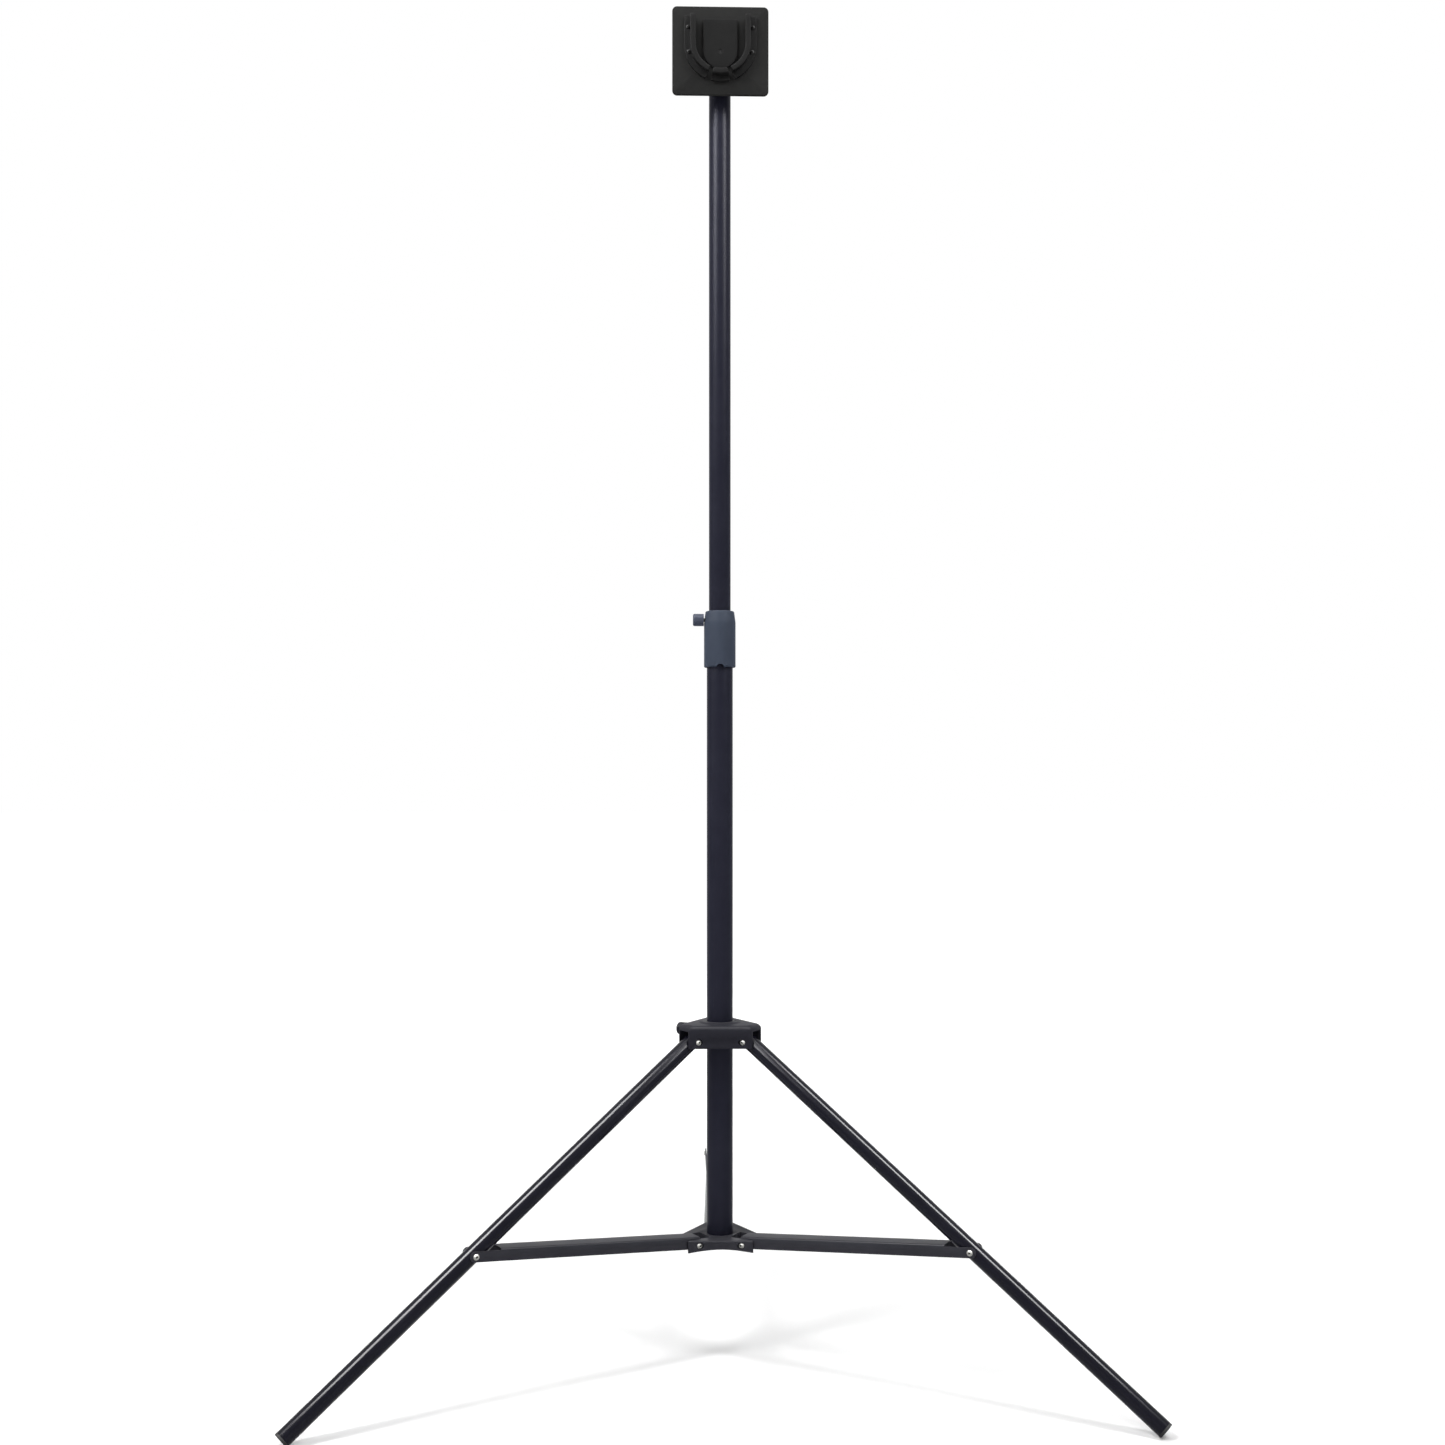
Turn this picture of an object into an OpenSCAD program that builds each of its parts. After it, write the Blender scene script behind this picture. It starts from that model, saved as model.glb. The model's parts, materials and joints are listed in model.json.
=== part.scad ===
// Light speaker tripod stand: telescoping mast, braced folding legs and a U-track head plate.
// Millimetres, +Z up, front towards -Y. The origin is on the floor, at the middle of the stand's box.

/* [Legs] */
// Leg length, from its pivot to the end face of its foot
leg_len = 594; // [520:1:660]
// Leg angle from vertical with the stand open
leg_angle = 53; // [48:0.5:56]
// Leg tube diameter
leg_od = 18; // [16:0.5:19]
// Leg tube wall
leg_wall = 1.2; // [0.8:0.1:2]
// Distance of the leg pivots from the mast axis
pivot_r = 37.5; // [36:0.5:40]
// Length of the leg tube above its pivot
leg_top = 7; // [6:0.5:8]
// Length of the plug in the top of each leg
leg_plug_len = 28; // [20:1:40]

/* [Feet] */
// Length of the rubber plug that closes the foot of each leg
foot_len = 30; // [20:1:45]
// Thickness of the tread below the end of the leg tube
foot_end = 3; // [2:0.5:6]
// Rounding of the tread's edge
foot_edge = 1; // [0.5:0.1:1.8]

/* [Braces] */
// Distance along a leg from its pivot to its brace rivet
brace_at = 338; // [325:1:350]
// Sheet thickness of the brace channel
brace_t = 1.5; // [1:0.1:2]
// Height of the brace's top above its pivot line
brace_above = 8; // [7:0.5:9]
// Depth of the brace's flanges below its pivot line
brace_below = 5.5; // [5:0.5:7]
// Outer bend radius of the brace channel
brace_bend = 2.4; // [2.1:0.1:3]
// Length of the open fork that straddles the leg
brace_fork = 76; // [76:1:110]

/* [Tubes] */
// Lower tube diameter
lower_od = 30; // [29:0.5:32]
// Lower tube wall
lower_wall = 1.4; // [1:0.1:1.6]
// Upper tube diameter
upper_od = 25; // [23:0.5:25.5]
// Upper tube wall
upper_wall = 1.2; // [0.8:0.1:2]
// Lower tube length
lower_len = 702; // [660:1:760]
// Upper tube length
upper_len = 811; // [700:1:840]
// Length of the upper tube that shows between the collar and the head socket
mast_out = 607; // [560:1:640]
// Length of the glide bush at the bottom of the upper tube
glide_len = 40; // [25:1:60]
// Length of the plugs that close the tube ends
plug_len = 12; // [8:1:20]
// Thickness of the rim of the plug under the lower tube
plug_rim = 1; // [0.5:0.1:1.5]
// Thickness of the glide bush's foot
glide_foot = 2; // [1:0.5:4]

/* [Leg hub] */
// Distance of the flat webs from the mast axis
web_r = 34; // [33:0.5:36]
// Distance of the arm ends from the mast axis
arm_r = 48; // [47:0.5:50]
// Depth of the hub below the leg pivots
hub_below = 6.8; // [6:0.1:9]
// Roof thickness over the legs
roof_t = 7; // [5:0.1:8]
// Height of the hub's neck above its roof
neck_h = 1.2; // [1:0.1:4]
// Rounding of the roof along the arm ends
arm_edge = 8; // [4:0.5:9]
// Rounding of the roof along the webs
web_edge = 5; // [3:0.5:7]
// Wall of the nylon bush between the hub and the lower tube
hub_bush_wall = 2; // [1.5:0.1:2.5]
// Wall of the hub round its bush
hub_wall = 3.4; // [2.5:0.1:4]
// Thickness of the webs and cheeks round the hub's hollows
cheek_t = 3; // [2:0.1:3.5]
// Width of the hollows behind the webs
hollow_w = 27; // [22:1:30]
// Fillet between the neck and the roof
neck_fillet = 6; // [3:0.5:8]
// Reach of the hubs' rounded corners beyond their arm ends
hub_corner = 1; // [0.6:0.1:1.5]

/* [Lower hub] */
// Height of the brace pivots above the floor
low_z = 134; // [126:1:140]
// Distance of the lower hub's flat webs from the mast axis
low_web_r = 36; // [35.5:0.5:37]
// Distance of the lower hub's arm ends from the mast axis
low_arm_r = 50; // [48:0.5:50.5]
// Height of the lower hub above the brace pivots
low_above = 6; // [5:0.5:9]
// Depth of the lower hub at its corners below the brace pivots
low_below = 8; // [7:0.5:10]
// Rise of the lower hub's underside from its corners to its middle
low_arch = 4; // [2:0.5:5]
// Wall of the socket round the lower tube
low_wall = 5; // [4:0.5:6]
// Rounding of the lower hub's top edges
low_edge = 2; // [1:0.5:3]

/* [Pivots] */
// Diameter of the pivot pins and brace rivets
pin_d = 5; // [4:0.1:5.5]
// Diameter of the rivet heads
rivet_head_d = 6.8; // [6.4:0.1:7.4]
// Height of the rivet heads
rivet_head_h = 1.9; // [1.2:0.1:2.4]
// Half length of the leg pins between their heads
pin_half = 15.6; // [15:0.1:16]
// Half length of the brace pins between their heads
low_pin_half = 17.9; // [17:0.1:18.2]
// Diameter of the rivet that holds the lower hub on its tube
hub_rivet_d = 4; // [3:0.1:5]

/* [Collar] */
// Collar diameter
collar_od = 36.5; // [36:0.5:40]
// Collar length
collar_len = 65; // [58:1:75]
// Length of the lower tube inside the collar
collar_grip = 40; // [32:1:44]
// Diameter of the collar's top
collar_top_d = 33; // [31.5:0.5:34]
// Length of the tapered shoulder
shoulder_len = 13; // [8:1:18]
// Rounding of the collar's lower edge
collar_edge = 1.5; // [0.5:0.1:2]
// Rounding of the collar's top edge
collar_lip = 1; // [0.5:0.1:1.5]
// Diameter of the arch in the collar's lower edge
arch_d = 10; // [6:0.5:14]
// Height of the arch in the collar's lower edge
arch_h = 3.5; // [2:0.5:5]
// Step between the collar's seat for the lower tube and its bush
bush_step = 0.5; // [0.3:0.1:1]

/* [Clamp screws] */
// Size of a knob across its flats
knob_flats = 14; // [11:0.2:15]
// Length of the knob's head
knob_len = 12.5; // [9:0.5:16]
// Number of flats round a knob
knob_sides = 8; // [6:1:12]
// Bevel at both ends of a knob's head
knob_bevel = 1.6; // [0.6:0.1:2.4]
// Diameter of the hub knob's neck
knob_neck_d = 9; // [8:0.2:10]
// Length of the hub knob's neck
hub_knob_neck = 8; // [4:0.5:10]
// Diameter of the clamp studs
stud_d = 5; // [4:0.1:6]
// Thread pitch of the clamp studs
stud_pitch = 1; // [0.7:0.05:1]
// Depth of the collar's clamp screw below the collar's top
collar_screw_drop = 10; // [8:0.5:11]
// Height of the hub's clamp screw above the leg pivots
hub_screw_rise = 8; // [6:0.5:8.5]
// Diameter of the clamp shoes
shoe_d = 8; // [7:0.5:9]
// Thickness of the clamp shoes
shoe_t = 1; // [0.8:0.1:1]
// Outer diameter of the threaded inserts
insert_d = 8; // [7.4:0.1:8.4]
// Length of the threaded inserts
insert_len = 2.3; // [1.8:0.1:2.4]
// Distance of the collar insert's outer end beyond the radius of the collar's top
insert_out = 0.6; // [0.5:0.1:0.8]

/* [Head] */
// Head plate width
plate_w = 110; // [100:1:130]
// Head plate height
plate_h = 101; // [96:1:120]
// Head plate thickness
plate_t = 4; // [3:0.5:6]
// Head plate corner radius
plate_corner = 5.5; // [3:0.5:10]
// Outer radius of the U-track
track_r = 41.4; // [39:0.2:44]
// Length of the straight part of the track
track_straight = 33.5; // [25:0.5:36]
// Height of the track's centre above the plate's middle
track_rise = 5.5; // [0:0.5:7]
// Width of the track's outer flange
track_flange = 7; // [7:0.1:7.5]
// Thickness of the track's outer flange
track_flange_t = 2.6; // [2:0.1:4]
// Width of the track's wall
track_w = 2.6; // [2:0.1:3]
// Height of the track's wall under its lip
track_h = 6; // [5:0.5:8]
// Inward reach of the track's lip
lip_w = 3.6; // [2:0.1:4.2]
// Thickness of the track's lip
lip_t = 2.5; // [1.5:0.5:4]
// Half angle of the stop tab at the bottom of the track
tab_angle = 15.5; // [10:0.5:17]
// Half angle at which the rails end
rail_end_angle = 24; // [22:0.5:32]
// Radius of the centre pad's round end
pad_r = 19.7; // [17:0.1:22]
// Length of the centre pad's straight part
pad_straight = 37; // [28:1:38]
// Drop of the centre pad's round end below the track's centre
pad_drop = 7; // [5:0.5:8]
// Thickness of the centre pad
pad_t = 2.2; // [1.5:0.1:2.6]
// Bevel round the centre pad's face
pad_bevel = 1; // [0.4:0.1:1.2]
// Depth of the recess for the centre pad's screw
pad_sink = 1; // [0.6:0.1:1.2]
// Diameter of the head of the centre pad's screw
pad_screw_d = 4; // [3.8:0.1:5]
// Diameter of the track screws
screw_d = 3; // [2.5:0.1:3.5]
// Diameter of the track screws' heads
screw_head_d = 4.8; // [4.4:0.1:5]
// Height of the track screws' heads
screw_head_h = 1.6; // [1:0.1:2]
// Distance of the track screws from the track's outer edge
screw_inset = 4.4; // [3.5:0.1:4.4]
// Height of the upper track screws above the track's centre
screw_up = 20; // [16:0.5:24]
// Depth of the lower track screws below the track's centre
screw_down = 8; // [5:0.5:10]

/* [Head socket] */
// Wall of the socket round the upper tube
socket_wall = 4; // [3:0.5:6]
// Height of the socket
socket_len = 58; // [54:1:70]
// Length of the upper tube inside the socket
socket_grip = 50; // [42:1:52]
// Height of the socket's lower end above the plate's lower edge
socket_lift = 20; // [16:0.5:24]
// Flange width
flange_w = 90; // [88:1:96]
// Flange height
flange_h = 44; // [40:1:50]
// Flange thickness
flange_t = 3.5; // [3:0.5:5]
// Width of the neck between the flange and the socket
socket_neck_w = 22; // [16:1:26]
// Diameter of the socket's set screw
set_screw_d = 5; // [4:0.5:6]
// Diameter of the set screw's head
set_head_d = 8; // [7:0.5:10]
// Height of the set screw's head
set_head_h = 4; // [3:0.5:6]
// Height of the set screw above the socket's lower end
set_screw_up = 17; // [12:0.5:25]
// Gap between the back of the plate's flange and the socket
socket_gap = 1; // [0.5:0.1:2]

/* [Clearances] */
// Radial clearance of what turns or slides
run_gap = 0.08; // [0.05:0.01:0.1]
// Radial clearance of what is fixed
fit_gap = 0.04; // [0.02:0.01:0.05]
// Side clearance of the legs and braces in their slots
side_gap = 0.6; // [0.4:0.1:0.8]
// Clearance between neighbours that only pass each other
pass_gap = 0.8; // [0.5:0.1:1]
// Clearance of the clamp windows and of loose holes
window_gap = 0.3; // [0.2:0.05:0.4]

/* [Hidden] */
$fn = 64;

// A margin that carries each cut clear of the faces it opens
cut = 1;
// A length that is larger than any hub
far = 120;
legs = [1, 2, 3];

// Stance, from the leg's length and angle
foot_r = leg_od / 2;
edge_lift = foot_edge * (1 - cos(leg_angle) - sin(leg_angle));
hub_z = leg_len * cos(leg_angle) + foot_r * sin(leg_angle) + edge_lift;
stance_r = pivot_r + leg_len * sin(leg_angle);
rear_reach = stance_r - foot_edge * sin(leg_angle) + (foot_r - foot_edge) * cos(leg_angle) + foot_edge;
front_slope = sin(leg_angle) / 2;
front_reach = stance_r / 2 - foot_edge * front_slope
    + (foot_r - foot_edge) * sqrt(1 - front_slope * front_slope) + foot_edge;
mast_y = (front_reach - rear_reach) / 2;

// Brace, from the leg's rivet to the lower hub's pivot
rivet_run = brace_at * sin(leg_angle);
rivet_rise = hub_z - brace_at * cos(leg_angle) - low_z;
brace_len = sqrt(rivet_run * rivet_run + rivet_rise * rivet_rise);
brace_slope = atan2(rivet_rise, rivet_run);
brace_w = leg_od + 2 * (side_gap + brace_t);
brace_h = brace_above + brace_below;

// Hub slots and roof
leg_slot_w = leg_od + 2 * side_gap;
brace_slot_w = brace_w + 2 * side_gap;
roof_under = norm([leg_top, leg_od / 2]) + pass_gap;
roof_top = roof_under + roof_t;
lower_r = lower_od / 2;
hub_bush_r = lower_r + run_gap + hub_bush_wall;
hub_wall_r = hub_bush_r + fit_gap + hub_wall;
low_wall_r = lower_r + fit_gap + low_wall;
arch_flare = low_arm_r + cut - low_web_r;

// Mast
lower_foot_z = low_z - low_below + low_arch + plug_rim;
collar_z = lower_foot_z + lower_len - collar_grip;
collar_top_z = collar_z + collar_len;
upper_r = upper_od / 2;
upper_top_z = collar_top_z + mast_out + socket_grip;
upper_foot_z = upper_top_z - upper_len;
plate_z = collar_top_z + mast_out - socket_lift;
bush_r = lower_r - bush_step;
glide_r = lower_r - lower_wall - run_gap;

// Clamp screws: the collar's points to the left, the hub's to the rear left
collar_screw_z = collar_top_z - collar_screw_drop;
collar_screw_turn = 180;
hub_screw_turn = 150;
hub_rivet_turn = 30;
set_screw_turn = 90;
hollow_turns = [-90, 30];
shoe_travel = stud_pitch;
collar_knob_r = collar_od / 2 + window_gap;

// Head plate, in a frame with x across, y up and z out of its face
socket_r = upper_r + run_gap + socket_wall;
plate_back = socket_r + flange_t + socket_gap;
track_z = plate_h / 2 + track_rise;
screw_ring = track_r - screw_inset;
screw_spots = [for (side = [-1, 1], rise = [screw_up, -screw_down])
    [side * (rise > 0 ? screw_ring : sqrt(screw_ring * screw_ring - rise * rise)), rise]];
flange_mid = track_z + (screw_up - screw_down) / 2;

tube_black = [0.10, 0.10, 0.13];
hub_black = [0.13, 0.13, 0.15];
collar_slate = [0.27, 0.30, 0.36];
plate_charcoal = [0.19, 0.19, 0.19];
nickel = [0.82, 0.82, 0.80];
nylon = [0.16, 0.16, 0.17];
rubber = [0.07, 0.07, 0.08];
brass = [0.72, 0.58, 0.30];

function leg_turn(i) = 90 + 120 * i;

// Frames
module at_mast(z = 0) {
    translate([0, mast_y, z]) children();
}

module at_arm(i, z) {
    at_mast(z) rotate(leg_turn(i)) translate([pivot_r, 0, 0]) children();
}

// Leg frame: the pivot is the origin and +X runs down the leg
module at_leg(i) {
    at_arm(i, hub_z) rotate([0, 90 - leg_angle, 0]) children();
}

// Brace frame: the lower hub's pivot is the origin and +X runs out along the brace
module at_brace(i) {
    at_arm(i, low_z) rotate([0, -brace_slope, 0]) children();
}

// Plate frame: x across, y up from the plate's lower edge, z out of its front face
module at_plate() {
    at_mast(plate_z) translate([0, -plate_back - plate_t, 0]) rotate([90, 0, 0]) children();
}

// Screw frame: +X runs outwards along the clamp screw
module at_screw(turn, z) {
    at_mast(z) rotate(turn) children();
}

// Shared shapes
module tube(od, wall, len) {
    difference() {
        cylinder(h = len, d = od);
        translate([0, 0, -cut]) cylinder(h = len + 2 * cut, d = od - 2 * wall);
    }
}

module along_x() {
    rotate([0, 90, 0]) children();
}

// A bar of a diameter along X between two places
module bar_x(d, from, to) {
    translate([from, 0, 0]) along_x() cylinder(h = to - from, d = d);
}

// A bar across a slot, along Y
module bar_y(d, half) {
    rotate([90, 0, 0]) cylinder(h = 2 * half, d = d, center = true);
}

// A domed rivet head on the plane z = 0
module rivet_head(d, h) {
    crown = (d * d / 4 + h * h) / (2 * h);
    intersection() {
        cylinder(h = h, d = d);
        translate([0, 0, h - crown]) sphere(r = crown);
    }
}

// A pivot pin along Y with a head at each end
module pivot_pin(half) {
    bar_y(pin_d, half);
    for (side = [-1, 1])
        translate([0, side * half, 0]) rotate([-90 * side, 0, 0]) rivet_head(rivet_head_d, rivet_head_h);
}

module round_rect(w, h, r) {
    for (shape = [[w, h - 2 * r], [w - 2 * r, h]]) square(shape, center = true);
    for (x = [-1, 1], y = [-1, 1]) translate([x * (w / 2 - r), y * (h / 2 - r)]) circle(r);
}

// A U outline: a half round below y = 0 and straight sides above it
module u_shape(r, straight) {
    circle(r);
    translate([-r, 0]) square([2 * r, straight]);
}

// All that lies within reach of the axis along +X, with its top edge rounded
module side_block(reach, below, above, edge) {
    rotate([90, 0, 0]) linear_extrude(2 * far, center = true) {
        translate([-far, -below]) square([far + reach, below + above - edge]);
        translate([-far, -below]) square([far + reach - edge, below + above]);
        translate([reach - edge, above - edge]) circle(edge);
    }
}

// A six-sided hub: three flat webs between three arm ends
module hub_block(web, arm, below, above, web_round, arm_round) {
    intersection() {
        intersection_for (i = legs) rotate(leg_turn(i)) side_block(arm, below, above, arm_round);
        intersection_for (i = legs) rotate(leg_turn(i) + 60) side_block(web, below, above, web_round);
        translate([0, 0, -below]) cylinder(h = below + above, r = arm + hub_corner);
    }
}

// Slots, pin holes and rivet seats of the three arms, about the pivots' height
module arm_cuts(slot_w, slot_in, below, above, half) {
    for (i = legs) rotate(leg_turn(i)) {
        translate([slot_in, -slot_w / 2, -below - cut]) cube([far, slot_w, below + cut + above]);
        translate([pivot_r, 0, 0]) {
            bar_y(pin_d + 2 * fit_gap, half + cut);
            for (side = [-1, 1]) translate([0, side * (half + far / 2), 0])
                bar_y(rivet_head_d + 2 * window_gap, far / 2);
        }
    }
}

// Lower tube and its hub
module lower_tube() color(tube_black) difference() {
    at_mast(lower_foot_z) tube(lower_od, lower_wall, lower_len);
    at_screw(hub_rivet_turn, low_z) bar_x(hub_rivet_d + 2 * window_gap, 0, far);
}

module lower_tube_plug() color(nylon) at_mast(lower_foot_z) {
    cylinder(h = plug_len, d = lower_od - 2 * (lower_wall + fit_gap));
    translate([0, 0, -plug_rim]) cylinder(h = plug_rim, d = lower_od - 2 * plug_rim);
}

module lower_hub() color(hub_black) at_mast(low_z) difference() {
    hub_block(low_web_r, low_arm_r, low_below, low_above, low_edge, low_edge);
    translate([0, 0, -low_below - cut]) cylinder(h = far, r = lower_r + fit_gap);
    arm_cuts(brace_slot_w, low_wall_r, low_below, low_above + cut, low_pin_half);
    translate([0, 0, -low_below - cut])
        cylinder(h = low_arch + cut, r1 = low_web_r + arch_flare * (1 + cut / low_arch), r2 = low_web_r);
    rotate(hub_rivet_turn) {
        bar_x(hub_rivet_d + 2 * window_gap, 0, far);
        bar_x(rivet_head_d + 2 * window_gap, low_web_r - rivet_head_h, far);
    }
}

module lower_hub_rivet() color(nickel) at_screw(hub_rivet_turn, low_z) {
    bar_x(hub_rivet_d, lower_r - lower_wall, low_web_r - rivet_head_h);
    translate([low_web_r - rivet_head_h, 0, 0]) along_x() rivet_head(rivet_head_d, rivet_head_h);
}

module brace_pins() color(nickel) for (i = legs) at_arm(i, low_z) pivot_pin(low_pin_half);

// Collar and its clamp
module collar() color(collar_slate) at_mast(collar_z) difference() {
    rotate_extrude() {
        translate([0, collar_edge]) square([collar_od / 2, collar_len - shoulder_len - collar_edge]);
        square([collar_od / 2 - collar_edge, collar_edge]);
        translate([collar_od / 2 - collar_edge, collar_edge]) circle(collar_edge);
        polygon([[0, collar_len - shoulder_len], [collar_od / 2, collar_len - shoulder_len],
            [collar_top_d / 2 + collar_lip / 2, collar_len - collar_lip],
            [collar_top_d / 2 - collar_lip / 2, collar_len], [0, collar_len]]);
    }
    translate([0, 0, -cut]) cylinder(h = collar_grip + cut, r = lower_r + fit_gap);
    cylinder(h = collar_len + cut, r = bush_r + fit_gap);
    translate([0, 0, arch_h - arch_d / 2]) rotate([90, 0, 0]) cylinder(h = far, d = arch_d);
    rotate(collar_screw_turn) translate([0, 0, collar_len - collar_screw_drop]) {
        bar_x(insert_d + 2 * fit_gap, 0, far);
        bar_x(shoe_d + 2 * window_gap, 0, upper_r + run_gap + shoe_t + shoe_travel + window_gap);
    }
}

module collar_bush() color(nylon) at_mast(collar_z + collar_grip) difference() {
    cylinder(h = collar_len - collar_grip, r = bush_r);
    translate([0, 0, -cut]) cylinder(h = far, r = upper_r + run_gap);
    rotate(collar_screw_turn) translate([0, 0, collar_len - collar_grip - collar_screw_drop])
        bar_x(shoe_d + 2 * window_gap, 0, far);
}

// A threaded insert between two distances from the mast axis
module screw_insert(outer) {
    difference() {
        bar_x(insert_d, outer - insert_len, outer);
        bar_x(stud_d + 2 * run_gap, 0, far);
    }
}

// A clamp shoe, hollowed to the tube that it grips
module screw_shoe(tube_r) {
    difference() {
        bar_x(shoe_d, tube_r - cut, tube_r + run_gap + shoe_t);
        cylinder(h = far, r = tube_r + run_gap, center = true);
    }
}

// A many-sided knob, bevelled at both ends, on a neck that may be of no length
module screw_knob(start, neck) {
    head = start + neck;
    corner_d = knob_flats / cos(180 / knob_sides);
    difference() {
        union() {
            if (neck > 0) bar_x(knob_neck_d, start, head + cut);
            intersection() {
                translate([head, 0, 0]) along_x() rotate(180 / knob_sides)
                    cylinder(h = knob_len, d = corner_d, $fn = knob_sides);
                translate([head, 0, 0]) along_x() rotate_extrude() polygon([[0, 0],
                    [corner_d / 2 - knob_bevel, 0], [corner_d / 2 + cut, knob_bevel + cut],
                    [corner_d / 2 + cut, knob_len - knob_bevel - cut],
                    [corner_d / 2 - knob_bevel, knob_len], [0, knob_len]]);
            }
        }
        bar_x(stud_d + 2 * fit_gap, 0, head + knob_len / 2);
    }
}

module collar_insert() color(brass) at_screw(collar_screw_turn, collar_screw_z)
    screw_insert(collar_top_d / 2 + insert_out);

module collar_shoe() color(nylon) at_screw(collar_screw_turn, collar_screw_z) screw_shoe(upper_r);

module collar_stud() color(nickel) at_screw(collar_screw_turn, collar_screw_z)
    bar_x(stud_d, upper_r + 2 * run_gap + shoe_t, collar_knob_r + knob_len / 2);

module collar_knob() color(collar_slate) at_screw(collar_screw_turn, collar_screw_z)
    screw_knob(collar_knob_r, 0);

// Upper tube
module upper_tube() color(tube_black) at_mast(upper_foot_z) tube(upper_od, upper_wall, upper_len);

module mast_glide() color(nylon) at_mast(upper_foot_z) {
    translate([0, 0, -glide_foot]) cylinder(h = glide_foot, r = glide_r);
    cylinder(h = plug_len, d = upper_od - 2 * (upper_wall + fit_gap));
    tube(2 * glide_r, glide_r - upper_r - fit_gap, glide_len);
}

module upper_tube_plug() color(nylon) at_mast(upper_top_z - plug_len)
    cylinder(h = plug_len, d = upper_od - 2 * (upper_wall + fit_gap));

// Head plate and track
module screw_holes(depth) {
    for (spot = screw_spots) translate([spot[0], track_z + spot[1], -depth])
        cylinder(h = far, d = screw_d + 2 * fit_gap);
}

module head_plate() color(plate_charcoal) at_plate() difference() {
    translate([0, plate_h / 2, -plate_t]) linear_extrude(plate_t) round_rect(plate_w, plate_h, plate_corner);
    screw_holes(far / 2);
    translate([0, track_z - pad_drop, -far / 2]) cylinder(h = far, d = screw_d + 2 * fit_gap);
}

// The band between two U outlines
module u_band(outer, inner) {
    difference() {
        u_shape(outer, track_straight);
        u_shape(inner, far);
    }
}

// The whole track: its outer flange, its wall and its inward lip
module track_band() {
    wall_r = track_r - track_flange;
    linear_extrude(track_flange_t) u_band(track_r, wall_r - track_w);
    linear_extrude(track_h + lip_t) u_band(wall_r, wall_r - track_w);
    translate([0, 0, track_h]) linear_extrude(lip_t) u_band(wall_r, wall_r - track_w - lip_w);
}

// The half of the track's plane on one side of a line through its centre
module track_half(side, angle) {
    rotate(side * angle) translate([side > 0 ? 0 : -far, -far, -cut]) cube([far, 2 * far, far]);
}

module track_rail(side) {
    difference() {
        translate([0, track_z, 0]) intersection() {
            track_band();
            track_half(side, rail_end_angle);
        }
        screw_holes(cut);
    }
}

module track_left() color(plate_charcoal) at_plate() track_rail(-1);

module track_right() color(plate_charcoal) at_plate() track_rail(1);

module stop_tab() color(plate_charcoal) at_plate() translate([0, track_z, 0]) difference() {
    track_band();
    for (side = [-1, 1]) track_half(side, tab_angle);
    translate([-far, 0, -cut]) cube([2 * far, far, far]);
}

module centre_pad() color(plate_charcoal) at_plate() translate([0, track_z - pad_drop, 0]) difference() {
    union() {
        linear_extrude(pad_t - pad_bevel) u_shape(pad_r, pad_straight);
        translate([0, 0, pad_t - pad_bevel]) linear_extrude(pad_bevel)
            u_shape(pad_r - pad_bevel, pad_straight - pad_bevel);
    }
    translate([0, 0, -cut]) cylinder(h = far, d = screw_d + 2 * fit_gap);
    translate([0, 0, pad_t - pad_sink]) cylinder(h = far, d = pad_screw_d + 2 * fit_gap);
}

module pad_screw() color(nickel) at_plate() translate([0, track_z - pad_drop, 0]) {
    translate([0, 0, -plate_t]) cylinder(h = plate_t + pad_t - pad_sink, d = screw_d);
    translate([0, 0, pad_t - pad_sink]) cylinder(h = pad_sink / 2, d = pad_screw_d);
}

module track_screws() color(nickel) at_plate() for (spot = screw_spots)
    translate([spot[0], track_z + spot[1], 0]) {
        translate([0, 0, -plate_t - flange_t])
            cylinder(h = plate_t + flange_t + track_flange_t, d = screw_d);
        translate([0, 0, track_flange_t]) rivet_head(screw_head_d, screw_head_h);
    }

module head_socket() color(hub_black) difference() {
    union() {
        at_mast(plate_z + socket_lift) cylinder(h = socket_len, r = socket_r);
        at_plate() translate([0, flange_mid, -plate_t - flange_t])
            linear_extrude(flange_t) round_rect(flange_w, flange_h, plate_corner);
        at_mast(plate_z + socket_lift) translate([-socket_neck_w / 2, -plate_back, 0])
            cube([socket_neck_w, plate_back, socket_len]);
    }
    at_mast(plate_z + socket_lift - cut)
        cylinder(h = socket_grip + window_gap + cut, r = upper_r + run_gap);
    at_plate() screw_holes(far / 2);
    at_screw(set_screw_turn, plate_z + socket_lift + set_screw_up) bar_x(set_screw_d + 2 * fit_gap, 0, far);
}

module socket_screw() color(nickel) at_screw(set_screw_turn, plate_z + socket_lift + set_screw_up) {
    bar_x(set_screw_d, upper_r + window_gap, socket_r);
    bar_x(set_head_d, socket_r, socket_r + set_head_h);
}

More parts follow.
